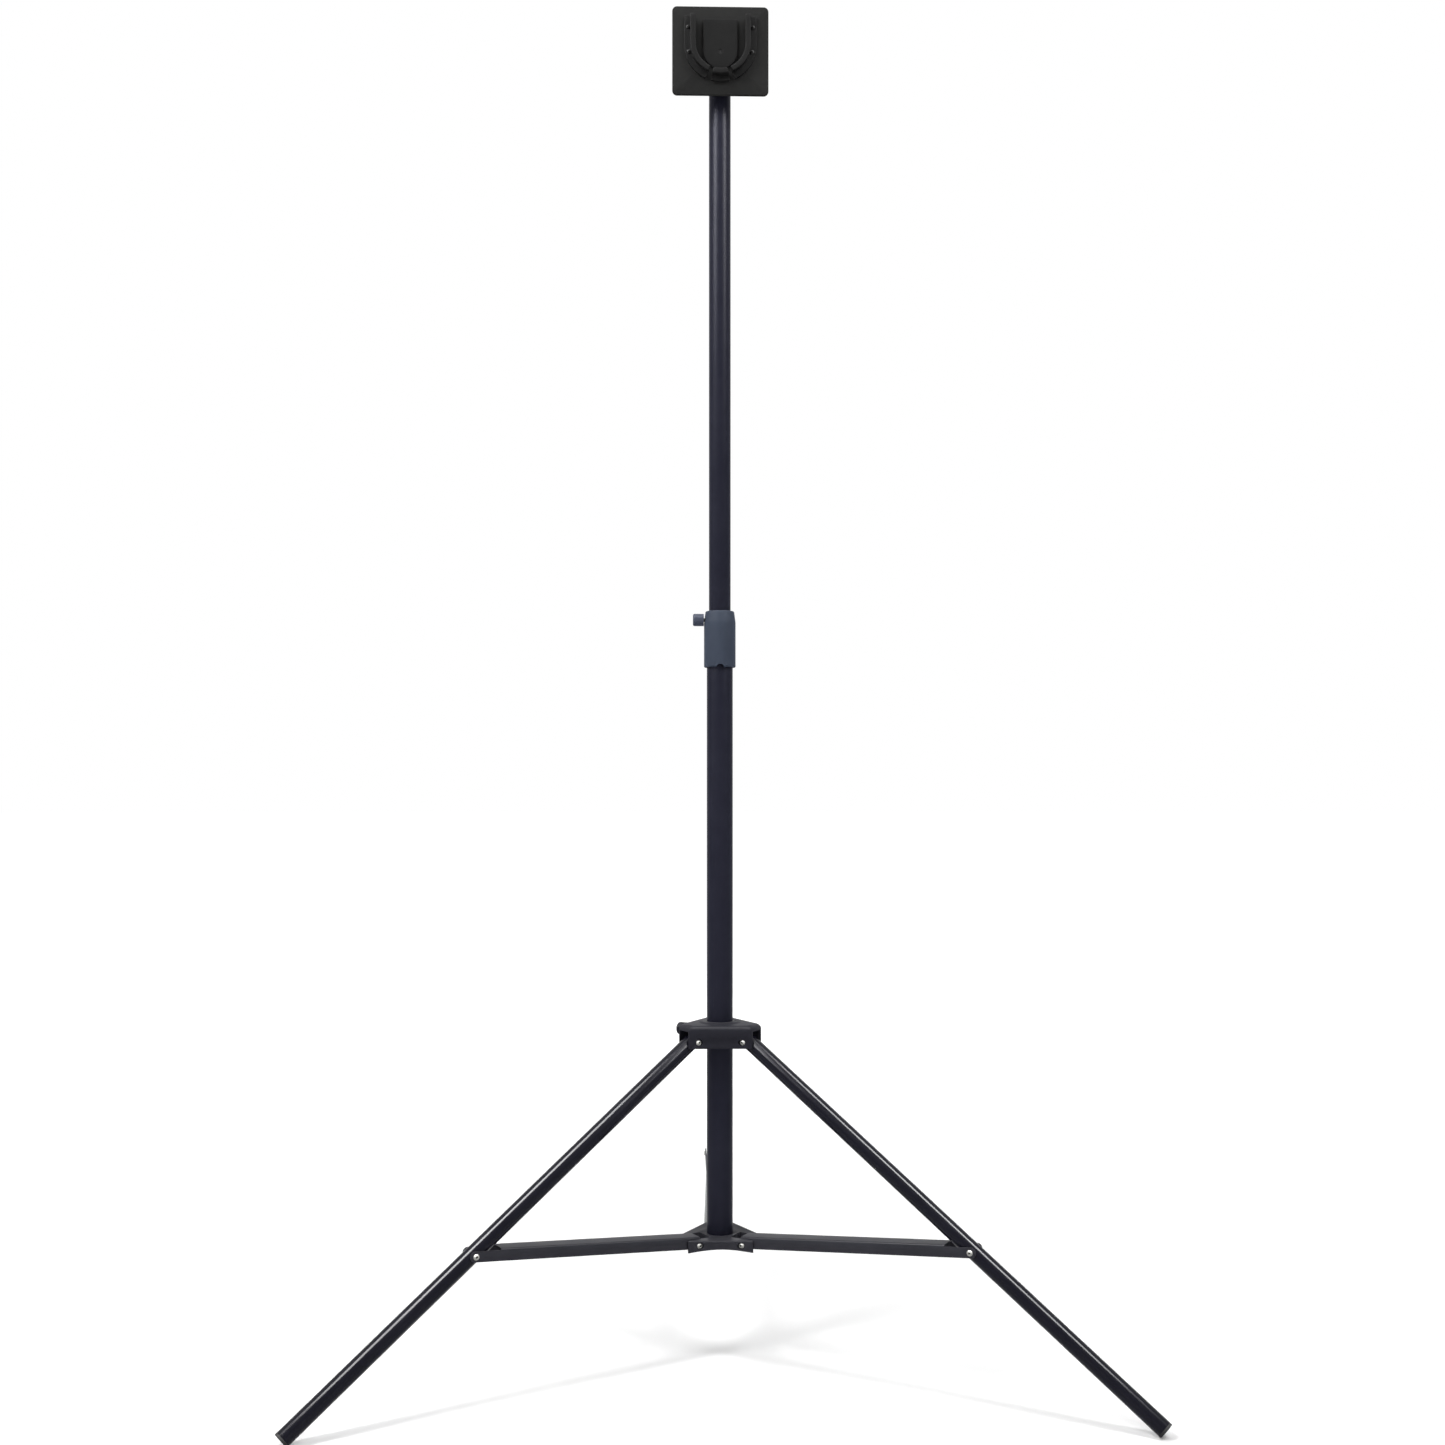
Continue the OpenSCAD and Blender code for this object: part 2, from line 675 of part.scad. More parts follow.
// Leg hub and its clamp
module leg_hub() color(hub_black) at_mast(hub_z) difference() {
    union() {
        hub_block(web_r, arm_r, hub_below, roof_top, web_edge, arm_edge);
        rotate_extrude() translate([0, roof_top - cut]) difference() {
            square([hub_wall_r + neck_fillet, neck_h + cut]);
            translate([hub_wall_r + neck_fillet, neck_fillet + cut]) circle(neck_fillet);
        }
    }
    translate([0, 0, -hub_below - cut]) cylinder(h = far, r = hub_bush_r + fit_gap);
    arm_cuts(leg_slot_w, hub_wall_r, hub_below, roof_under, pin_half);
    for (turn = hollow_turns) rotate(turn) difference() {
        translate([0, -hollow_w / 2, -hub_below - cut])
            cube([web_r - cheek_t, hollow_w, hub_below + cut + roof_under]);
        translate([0, 0, -far / 2]) cylinder(h = far, r = hub_wall_r);
        for (side = [-60, 60]) rotate(side)
            translate([0, -leg_slot_w / 2 - cheek_t, -far / 2]) cube([far, leg_slot_w + 2 * cheek_t, far]);
    }
    rotate(hub_screw_turn) translate([0, 0, hub_screw_rise]) {
        bar_x(stud_d + 2 * window_gap, 0, far);
        bar_x(shoe_d + 2 * window_gap, 0, hub_bush_r + shoe_travel + window_gap);
        bar_x(insert_d + 2 * fit_gap, web_r - insert_len, far);
    }
}

module hub_bush() color(nylon) at_mast(hub_z) difference() {
    translate([0, 0, -hub_below]) cylinder(h = hub_below + roof_top + neck_h, r = hub_bush_r);
    translate([0, 0, -far]) cylinder(h = 2 * far, r = lower_r + run_gap);
    rotate(hub_screw_turn) translate([0, 0, hub_screw_rise]) bar_x(shoe_d + 2 * window_gap, 0, far);
}

module leg_pins() color(nickel) for (i = legs) at_arm(i, hub_z) pivot_pin(pin_half);

module hub_insert() color(brass) at_screw(hub_screw_turn, hub_z + hub_screw_rise) screw_insert(web_r);

module hub_shoe() color(nylon) at_screw(hub_screw_turn, hub_z + hub_screw_rise) screw_shoe(lower_r);

module hub_stud() color(nickel) at_screw(hub_screw_turn, hub_z + hub_screw_rise)
    bar_x(stud_d, lower_r + 2 * run_gap + shoe_t, web_r + window_gap + hub_knob_neck + knob_len / 2);

module hub_knob() color(hub_black) at_screw(hub_screw_turn, hub_z + hub_screw_rise)
    screw_knob(web_r + window_gap, hub_knob_neck);

// Legs
module leg_tube(i) color(tube_black) at_leg(i) difference() {
    translate([-leg_top, 0, 0]) along_x() tube(leg_od, leg_wall, leg_top + leg_len - foot_end);
    bar_y(pin_d + 2 * run_gap, leg_od);
}

module leg_plug(i) color(nylon) at_leg(i) difference() {
    bar_x(leg_od - 2 * (leg_wall + fit_gap), -leg_top, leg_plug_len - leg_top);
    bar_y(pin_d + 2 * run_gap, leg_od);
}

// A plug in the end of the leg tube, with a tread as wide as the tube
module foot(i) color(rubber) at_leg(i) {
    bar_x(leg_od - 2 * (leg_wall + fit_gap), leg_len - foot_len, leg_len - foot_edge);
    translate([leg_len - foot_end, 0, 0]) along_x() rotate_extrude() {
        square([foot_r, foot_end - foot_edge]);
        square([foot_r - foot_edge, foot_end]);
        translate([foot_r - foot_edge, foot_end - foot_edge]) circle(foot_edge);
    }
}

// Brace: a pressed channel, open below, whose outer end is a fork round the leg
module channel_outline(w, bottom, top, bend) {
    translate([-w / 2, bottom]) square([w, top - bottom - bend]);
    translate([-w / 2 + bend, bottom]) square([w - 2 * bend, top - bottom]);
    for (side = [-1, 1]) translate([side * (w / 2 - bend), top - bend]) circle(bend);
}

module brace(i) color(tube_black) at_brace(i) difference() {
    intersection() {
        translate([-far, 0, 0]) rotate([90, 0, 90]) linear_extrude(2 * far + brace_len) difference() {
            channel_outline(brace_w, -brace_below, brace_above, brace_bend);
            channel_outline(brace_w - 2 * brace_t, -far, brace_above - brace_t, brace_bend - brace_t);
        }
        rotate([90, 0, 0]) translate([0, (brace_above - brace_below) / 2, 0])
            linear_extrude(2 * far, center = true) {
                translate([0, -brace_h / 2]) square([brace_len, brace_h]);
                for (x = [0, brace_len]) translate([x, 0]) circle(brace_h / 2);
            }
    }
    translate([brace_len - brace_fork, -brace_w / 2 + brace_t, -far / 2])
        cube([far + brace_fork, brace_w - 2 * brace_t, far]);
    bar_y(pin_d + 2 * run_gap, brace_w);
    translate([brace_len, 0, 0]) bar_y(pin_d + 2 * fit_gap, brace_w);
}

module brace_rivets(i) color(nickel) at_brace(i) translate([brace_len, 0, 0]) for (side = [-1, 1])
    rotate([-90 * side, 0, 0]) {
        translate([0, 0, brace_w / 2 - brace_t]) cylinder(h = brace_t, d = pin_d);
        translate([0, 0, brace_w / 2]) rivet_head(rivet_head_d, rivet_head_h);
    }

lower_tube();
lower_tube_plug();
lower_hub();
lower_hub_rivet();
brace_pins();
collar();
collar_bush();
collar_insert();
collar_shoe();
collar_stud();
collar_knob();
upper_tube();
mast_glide();
upper_tube_plug();
head_plate();
track_left();
track_right();
stop_tab();
centre_pad();
pad_screw();
track_screws();
head_socket();
socket_screw();
leg_hub();
hub_bush();
leg_pins();
hub_insert();
hub_shoe();
hub_stud();
hub_knob();
for (i = legs) {
    leg_tube(i);
    leg_plug(i);
    foot(i);
    brace(i);
    brace_rivets(i);
}
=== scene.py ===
"""A light speaker tripod stand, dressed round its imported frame. Metres, +Z up, front towards -Y."""
import json
import math

import bmesh
import bpy
import numpy as np
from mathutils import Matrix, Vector

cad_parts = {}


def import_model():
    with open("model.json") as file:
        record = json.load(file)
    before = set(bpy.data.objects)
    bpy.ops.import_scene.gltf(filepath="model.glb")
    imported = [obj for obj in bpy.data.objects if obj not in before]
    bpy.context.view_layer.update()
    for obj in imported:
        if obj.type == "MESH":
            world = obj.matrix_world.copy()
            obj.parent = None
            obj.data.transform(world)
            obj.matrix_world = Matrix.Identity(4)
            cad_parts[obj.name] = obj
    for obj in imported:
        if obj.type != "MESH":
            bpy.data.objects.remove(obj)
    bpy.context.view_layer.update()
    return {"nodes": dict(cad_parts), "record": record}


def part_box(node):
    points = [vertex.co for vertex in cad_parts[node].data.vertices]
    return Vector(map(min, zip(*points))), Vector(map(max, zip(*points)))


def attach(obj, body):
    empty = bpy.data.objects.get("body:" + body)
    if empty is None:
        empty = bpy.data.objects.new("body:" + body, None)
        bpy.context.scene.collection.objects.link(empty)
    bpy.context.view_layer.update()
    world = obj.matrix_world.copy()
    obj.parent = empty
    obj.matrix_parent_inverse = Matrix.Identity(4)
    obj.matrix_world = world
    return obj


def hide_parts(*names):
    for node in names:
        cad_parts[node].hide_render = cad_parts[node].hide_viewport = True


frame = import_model()

MM = 0.001
UP = np.array([0.0, 0.0, 1.0])
FRONT = np.array([0.0, -1.0, 0.0])
ACROSS = np.array([1.0, 0.0, 0.0])

# Sizes that the boxes of the frame do not give by themselves
LEG_ANGLE = math.radians(53.0)
LEG_WALL = 1.2 * MM
LOWER_WALL = 1.4 * MM
UPPER_WALL = 1.2 * MM
BRACE_SHEET = 1.5 * MM
BRACE_BEND = 2.4 * MM
BRACE_FORK = 28.0 * MM
BRACE_ROUND = 5.5 * MM
TREAD = 3.0 * MM
TUBE_EDGE = 0.4 * MM
CAST_EDGE = 0.5 * MM
TRACK_FLANGE = 7.0 * MM
TRACK_FLANGE_THICK = 2.6 * MM
TRACK_WALL = 2.6 * MM
TRACK_LIP = 3.6 * MM
TRACK_LIP_THICK = 2.5 * MM
TRACK_STRAIGHT = 33.5 * MM
RAIL_END = math.radians(24.0)
TAB_END = math.radians(15.5)
PAD_STRAIGHT = 37.0 * MM
STUD_PITCH = 1.0 * MM
FIT_GAP = 0.04 * MM
SHOE_GAP = 0.3 * MM
KNOB_SIDES = 8
KNOB_BEVEL = 1.6 * MM
HUB_KNOB_NECK = 8.0 * MM
COLLAR_SCREW_TURN = math.pi
HUB_SCREW_TURN = math.radians(150.0)
RIVET_HEAD = 6.8 * MM
RIVET_RISE = 1.9 * MM
RIVET_SHANK = 2.5 * MM
PIN_REACH = 30.0 * MM
HUB_RIVET = 4.0 * MM
SCREW_HEAD = 4.8 * MM
SCREW_RISE = 1.6 * MM
SCREW_SHANK = 1.5 * MM
SCREW_RECESS = 0.8 * MM
ARCH_RADIUS = 5.0 * MM
ARCH_HEIGHT = 3.5 * MM
ROUND_STEPS = 96
RIVET_STEPS = 48
LEGS = (1, 2, 3)

# The picture is square, and the camera's numbers come from the edges of the tubes and legs in it
PICTURE = 1445.0
FOCAL_PIXELS = 1632.0
HORIZON_ROW = 778.3
MAST_COLUMN = 719.8
CAMERA_AWAY = 1.888
CAMERA_HEIGHT = 0.665
CAMERA_TURN = math.radians(1.6)
SENSOR = 36.0


def node_points(node):
    """All corners of a CAD node, as rows of x, y, z."""
    mesh = frame["nodes"][node].data
    points = np.empty(len(mesh.vertices) * 3)
    mesh.vertices.foreach_get("co", points)
    return points.reshape(-1, 3)


def span(node, origin, axis):
    """The lowest and highest distance of a node's corners from an origin along an axis."""
    reach = (node_points(node) - origin) @ axis
    return reach.min(), reach.max()


def joint(name):
    """Where a joint sits and the way its axis points."""
    row = next(j for j in frame["record"]["behaviour"]["joints"] if j["name"] == name)
    return np.array(row.get("pos_m", (0.0, 0.0, 0.0))), np.array(row["axis"], float)


def box_mid(node):
    """The middle of a node's box."""
    low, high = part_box(node)
    return np.array((low + high) / 2)


# Frames: an origin and three axes, the first along the piece
MAST = box_mid("lower_tube") * (1, 1, 0)


class Place:
    """A local frame. Local points (a, b, c) lie at origin + a * first + b * second + c * third."""

    def __init__(self, origin, first, second):
        self.origin = np.asarray(origin, float)
        self.first = np.asarray(first, float)
        self.second = np.asarray(second, float)
        self.third = np.cross(self.first, self.second)

    def put(self, a, b, c):
        a, b, c = np.broadcast_arrays(a, b, c)
        return (self.origin + a[..., None] * self.first + b[..., None] * self.second
                + c[..., None] * self.third)

    def at(self, a=0.0, b=0.0, c=0.0):
        return Place(self.put(a, b, c), self.first, self.second)


def mast_place(z=0.0):
    """A frame on the mast's axis at a height, with the first axis up."""
    return Place(MAST + z * UP, UP, ACROSS)


def leg_place(i):
    """The leg's pivot, with the first axis down the leg and the second across it."""
    pivot, across = joint(f"leg_{i}_fold")
    out = (pivot - MAST) * (1, 1, 0)
    out = out / np.linalg.norm(out)
    down = math.sin(LEG_ANGLE) * out - math.cos(LEG_ANGLE) * UP
    return Place(pivot, down, across / np.linalg.norm(across))


def brace_place(i):
    """The brace's inner pivot, with the first axis out along the brace and the third upwards."""
    pivot, _ = joint(f"brace_{i}_fold")
    rivet = box_mid(f"brace_rivets_{i}")
    along = rivet - pivot
    length = np.linalg.norm(along)
    along = along / length
    side = np.cross(UP, along)
    return Place(pivot, along, side / np.linalg.norm(side)), length


# Profiles and outlines
def fillet(points, radii, steps=5):
    """A closed outline whose corners are arcs.

    At a corner the arc starts and ends where the two sides are tangent to it: the radius divided by
    the tangent of half the angle, away from the corner."""
    points = np.asarray(points, float)
    rounded = []
    for k, radius in enumerate(np.broadcast_to(radii, len(points))):
        here = points[k]
        back = points[k - 1] - here
        ahead = points[(k + 1) % len(points)] - here
        if radius <= 0:
            rounded.append(here[None])
            continue
        back, ahead = back / np.linalg.norm(back), ahead / np.linalg.norm(ahead)
        half = math.acos(np.clip(back @ ahead, -1, 1)) / 2
        run = radius / math.tan(half)
        middle = here + (back + ahead) / np.linalg.norm(back + ahead) * radius / math.sin(half)
        start, end = here + back * run - middle, here + ahead * run - middle
        first = math.atan2(start[1], start[0])
        sweep = math.atan2(start[0] * end[1] - start[1] * end[0], start @ end)
        turn = first + sweep * np.linspace(0, 1, steps)
        rounded.append(middle + radius * np.stack([np.cos(turn), np.sin(turn)], 1))
    return np.concatenate(rounded)


def closed(points):
    """The same rows with the first repeated at the end, which closes a ring."""
    return np.concatenate([points, points[:1]])


def revolve(profile, place, turns=ROUND_STEPS):
    """A profile of (distance along, radius) turned about the first axis.

    Point (h, u) lies h along the axis and radius * (cos u, sin u) across it."""
    u = np.linspace(0, 2 * math.pi, turns + 1)
    profile = np.asarray(profile, float)
    along, radius = profile[:, :1], profile[:, 1:]
    return place.put(along, radius * np.cos(u), radius * np.sin(u))


def half_round(radius, centre, start, end, steps=6):
    """Points of an arc, from one angle to another, in degrees."""
    turn = np.radians(np.linspace(start, end, steps))
    return np.asarray(centre) + radius * np.stack([np.cos(turn), np.sin(turn)], 1)


def outward(outline):
    """Unit normals of a closed outline that runs anticlockwise: the mean tangent, turned clockwise."""
    tangent = np.roll(outline, -1, 0) - np.roll(outline, 1, 0)
    normal = np.stack([tangent[:, 1], -tangent[:, 0]], 1)
    return normal / np.linalg.norm(normal, axis=1, keepdims=True)


def slab(outline, edge, place, centre):
    """A flat piece: an edge profile of (inset, height) carried round an outline, closed at a centre.

    Point (k, j) lies at the outline's point j moved inwards by inset k, at height k."""
    normal = outward(outline)
    rows = [np.broadcast_to(centre, outline.shape)]
    heights = [edge[0][1]]
    for inset, height in edge:
        rows.append(outline - inset * normal)
        heights.append(height)
    rows.append(np.broadcast_to(centre, outline.shape))
    heights.append(edge[-1][1])
    flat = np.stack([closed(row) for row in rows])
    return place.put(flat[..., 0], flat[..., 1], np.array(heights)[:, None])


# Making meshes
def grid_faces(rows, columns, first):
    """Corner numbers of the quads of a grid, whose corners count from first along each row."""
    corner = first + np.arange(rows * columns).reshape(rows, columns)
    return np.stack([corner[:-1, :-1], corner[:-1, 1:], corner[1:, 1:], corner[1:, :-1]], -1).reshape(-1, 4)


def arc_lengths(grid):
    """Distance along the rows and round the columns of a grid, in metres, as two maps."""
    row_steps = np.linalg.norm(np.diff(grid, axis=0), axis=2).mean(1)
    column_steps = np.linalg.norm(np.diff(grid, axis=1), axis=2).mean(0)
    along = np.concatenate([[0], np.cumsum(row_steps)])
    around = np.concatenate([[0], np.cumsum(column_steps)])
    return np.stack(np.meshgrid(around, along), -1)


def settle(mesh, crease):
    """Merges seams and poles, turns faces outwards, and marks edges sharper than an angle."""
    work = bmesh.new()
    work.from_mesh(mesh)
    bmesh.ops.remove_doubles(work, verts=work.verts, dist=1e-6)
    bmesh.ops.dissolve_degenerate(work, dist=1e-7, edges=work.edges)
    bmesh.ops.recalc_face_normals(work, faces=work.faces)
    work.to_mesh(mesh)
    work.free()
    mesh.shade_smooth()
    mesh.set_sharp_from_angle(angle=math.radians(crease))


def skin(name, grids, crease=35.0):
    """An object whose mesh is one or more grids of points, with a map of arc lengths in metres."""
    points = np.concatenate([grid.reshape(-1, 3) for grid in grids])
    lengths = np.concatenate([arc_lengths(grid).reshape(-1, 2) for grid in grids])
    faces, first = [], 0
    for grid in grids:
        rows, columns = grid.shape[:2]
        faces.append(grid_faces(rows, columns, first))
        first += rows * columns
    faces = np.concatenate(faces)
    mesh = bpy.data.meshes.new(name)
    mesh.from_pydata(points.tolist(), [], faces.tolist())
    layer = mesh.uv_layers.new(name="lengths")
    layer.data.foreach_set("uv", lengths[faces.ravel()].ravel().astype(np.float32))
    settle(mesh, crease)
    thing = bpy.data.objects.new(name, mesh)
    bpy.context.scene.collection.objects.link(thing)
    return thing


def fit(thing, material, slot, body, *nodes):
    """Gives a piece its finish, its body and the CAD nodes that it stands for."""
    thing.data.materials.clear()
    thing.data.materials.append(material)
    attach(thing, body)
    if nodes:
        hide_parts(*nodes)
    return thing


def softened(node, name, width):
    """A copy of a node's mesh with its flat faces joined and its sharp edges rounded."""
    flat, sharp = math.radians(1.0), math.radians(35.0)
    mesh = frame["nodes"][node].data.copy()
    mesh.name = name
    work = bmesh.new()
    work.from_mesh(mesh)
    bmesh.ops.remove_doubles(work, verts=work.verts, dist=2e-6)
    bmesh.ops.dissolve_limit(work, angle_limit=flat, verts=work.verts, edges=work.edges)
    work.to_mesh(mesh)
    work.free()
    mesh.shade_smooth()
    thing = bpy.data.objects.new(name, mesh)
    bpy.context.scene.collection.objects.link(thing)
    bevel = thing.modifiers.new("rounded edges", "BEVEL")
    bevel.width = width
    bevel.segments = 2
    bevel.limit_method = "ANGLE"
    bevel.angle_limit = sharp
    bevel.use_clamp_overlap = True
    bevel.harden_normals = True
    return thing


def drilled(thing, profile, place, crease):
    """Takes a round hole out of a piece: a profile of (distance along, radius) turned about an axis."""
    drill = skin("drill", [revolve(profile, place, 64)])
    hole = thing.modifiers.new("hole", "BOOLEAN")
    hole.object, hole.operation, hole.solver = drill, "DIFFERENCE", "EXACT"
    whole = thing.data
    thing.data = bpy.data.meshes.new_from_object(thing.evaluated_get(bpy.context.evaluated_depsgraph_get()))
    thing.modifiers.clear()
    bpy.data.meshes.remove(whole)
    bpy.data.objects.remove(drill)
    thing.data.shade_smooth()
    thing.data.set_sharp_from_angle(angle=math.radians(crease))
    return thing


# Shader groups
def new_group(name, inputs, outputs):
    """An empty shader group with its sockets, and its input and output nodes."""
    tree = bpy.data.node_groups.new(name, "ShaderNodeTree")
    for label, kind, value in inputs:
        socket = tree.interface.new_socket(label, in_out="INPUT", socket_type=kind)
        socket.default_value = value
    for label, kind in outputs:
        tree.interface.new_socket(label, in_out="OUTPUT", socket_type=kind)
    return tree, tree.nodes.new("NodeGroupInput"), tree.nodes.new("NodeGroupOutput")


def sum_up(tree, operation, *terms):
    """A Math node of an operation, whose terms are numbers or sockets."""
    node = tree.nodes.new("ShaderNodeMath")
    node.operation = operation
    for slot, term in zip(node.inputs, terms):
        if isinstance(term, (int, float)):
            slot.default_value = term
        else:
            tree.links.new(term, slot)
    return node.outputs[0]


def ramp(tree, value, low, high, start=0.0, end=1.0):
    """A value mapped from one range to another, held at its ends."""
    node = tree.nodes.new("ShaderNodeMapRange")
    for label, number in zip(("From Min", "From Max", "To Min", "To Max"), (low, high, start, end)):
        node.inputs[label].default_value = number
    tree.links.new(value, node.inputs["Value"])
    return node.outputs["Result"]


def noise(tree, vector, scale, detail, roughness):
    """The value of a noise whose scale is a number or a socket."""
    node = tree.nodes.new("ShaderNodeTexNoise")
    node.inputs["Detail"].default_value = detail
    node.inputs["Roughness"].default_value = roughness
    if isinstance(scale, (int, float)):
        node.inputs["Scale"].default_value = scale
    else:
        tree.links.new(scale, node.inputs["Scale"])
    tree.links.new(vector, node.inputs["Vector"])
    return node.outputs["Fac"]


def grain_group():
    """Fine grain of a coat or a moulding: height for a bump, and a slow change of tone."""
    tree, source, out = new_group(
        "surface grain",
        [("Scale", "NodeSocketFloat", 900.0), ("Drift Scale", "NodeSocketFloat", 18.0)],
        [("Height", "NodeSocketFloat"), ("Tone", "NodeSocketFloat")])
    coords = tree.nodes.new("ShaderNodeTexCoord").outputs["Object"]
    fine = noise(tree, coords, source.outputs["Scale"], 2.0, 0.5)
    slow = noise(tree, coords, source.outputs["Drift Scale"], 4.0, 0.6)
    tree.links.new(fine, out.inputs["Height"])
    tree.links.new(ramp(tree, slow, 0.3, 0.7), out.inputs["Tone"])
    return tree


def dust_group():
    """Dust that lies on faces that look up: the face's upward slope times a cloudy noise."""
    tree, source, out = new_group(
        "lying dust",
        [("Amount", "NodeSocketFloat", 0.3), ("Scale", "NodeSocketFloat", 60.0)],
        [("Mask", "NodeSocketFloat")])
    coords = tree.nodes.new("ShaderNodeTexCoord")
    split = tree.nodes.new("ShaderNodeSeparateXYZ")
    tree.links.new(coords.outputs["Normal"], split.inputs["Vector"])
    slope = ramp(tree, split.outputs["Z"], 0.25, 1.0)
    cloud = ramp(tree, noise(tree, coords.outputs["Object"], source.outputs["Scale"], 5.0, 0.65), 0.35, 0.75)
    mask = sum_up(tree, "MULTIPLY", slope, cloud)
    tree.links.new(sum_up(tree, "MULTIPLY", mask, source.outputs["Amount"]), out.inputs["Mask"])
    return tree


def rub_group():
    """Fine rub marks along a tube: noise drawn out along the tube's own length, kept where it peaks."""
    tree, source, out = new_group(
        "rub marks",
        [("Amount", "NodeSocketFloat", 0.3), ("Scale", "NodeSocketFloat", 1400.0)],
        [("Mask", "NodeSocketFloat")])
    lengths = tree.nodes.new("ShaderNodeUVMap")
    lengths.uv_map = "lengths"
    drawn = tree.nodes.new("ShaderNodeMapping")
    drawn.inputs["Scale"].default_value = (1.0, 0.02, 1.0)
    tree.links.new(lengths.outputs["UV"], drawn.inputs["Vector"])
    lines = ramp(tree, noise(tree, drawn.outputs["Vector"], source.outputs["Scale"], 2.0, 0.5), 0.62, 0.8)
    coords = tree.nodes.new("ShaderNodeTexCoord").outputs["Object"]
    patches = ramp(tree, noise(tree, coords, 14.0, 3.0, 0.6), 0.48, 0.7)
    mask = sum_up(tree, "MULTIPLY", lines, patches)
    tree.links.new(sum_up(tree, "MULTIPLY", mask, source.outputs["Amount"]), out.inputs["Mask"])
    return tree


GRAIN = grain_group()
DUST = dust_group()
RUB = rub_group()
DRIFT_SCALE = 18.0
DUST_SCALE = 60.0
DUST_COLOUR = (0.33, 0.32, 0.31)
RUB_COLOUR = (0.2, 0.2, 0.22)


def use(tree, group, **values):
    """A node of a group. Each value sets the input of that name."""
    node = tree.nodes.new("ShaderNodeGroup")
    node.node_tree = group
    for label, value in values.items():
        node.inputs[label.replace("_", " ")].default_value = value
    return node


def mix_colour(tree, mask, under, over):
    """One colour over another by a mask. A colour is three numbers or a socket."""
    node = tree.nodes.new("ShaderNodeMix")
    node.data_type = "RGBA"
    tree.links.new(mask, node.inputs["Factor"])
    for label, colour in (("A", under), ("B", over)):
        slot = next(s for s in node.inputs if s.name == label and s.type == "RGBA")
        if isinstance(colour, tuple):
            slot.default_value = (*colour, 1.0)
        else:
            tree.links.new(colour, slot)
    return next(s for s in node.outputs if s.type == "RGBA")


def finish_of(name, dark, light, rough, grain, depth, gloss=0.5, metal=0.0, dust=0.0, rub=0.0):
    """A surface of two close tones with fine grain, lying dust and, on tubes, rub marks."""
    material = bpy.data.materials.new(name)
    material.use_nodes = True
    tree = material.node_tree
    shader = tree.nodes["Principled BSDF"]
    surface = use(tree, GRAIN, Scale=grain, Drift_Scale=DRIFT_SCALE)
    colour = mix_colour(tree, surface.outputs["Tone"], dark, light)
    rough_socket = ramp(tree, surface.outputs["Tone"], 0.0, 1.0, rough[0], rough[1])
    if dust:
        lying = use(tree, DUST, Amount=dust, Scale=DUST_SCALE).outputs["Mask"]
        colour = mix_colour(tree, lying, colour, DUST_COLOUR)
        rough_socket = sum_up(tree, "MAXIMUM", rough_socket, lying)
    if rub:
        marks = use(tree, RUB, Amount=rub).outputs["Mask"]
        colour = mix_colour(tree, marks, colour, RUB_COLOUR)
    tree.links.new(colour, shader.inputs["Base Color"])
    tree.links.new(rough_socket, shader.inputs["Roughness"])
    shader.inputs["Metallic"].default_value = metal
    shader.inputs["Specular IOR Level"].default_value = gloss
    bump = tree.nodes.new("ShaderNodeBump")
    bump.inputs["Distance"].default_value = depth
    bump.inputs["Strength"].default_value = 1.0
    tree.links.new(surface.outputs["Height"], bump.inputs["Height"])
    tree.links.new(bump.outputs["Normal"], shader.inputs["Normal"])
    return material


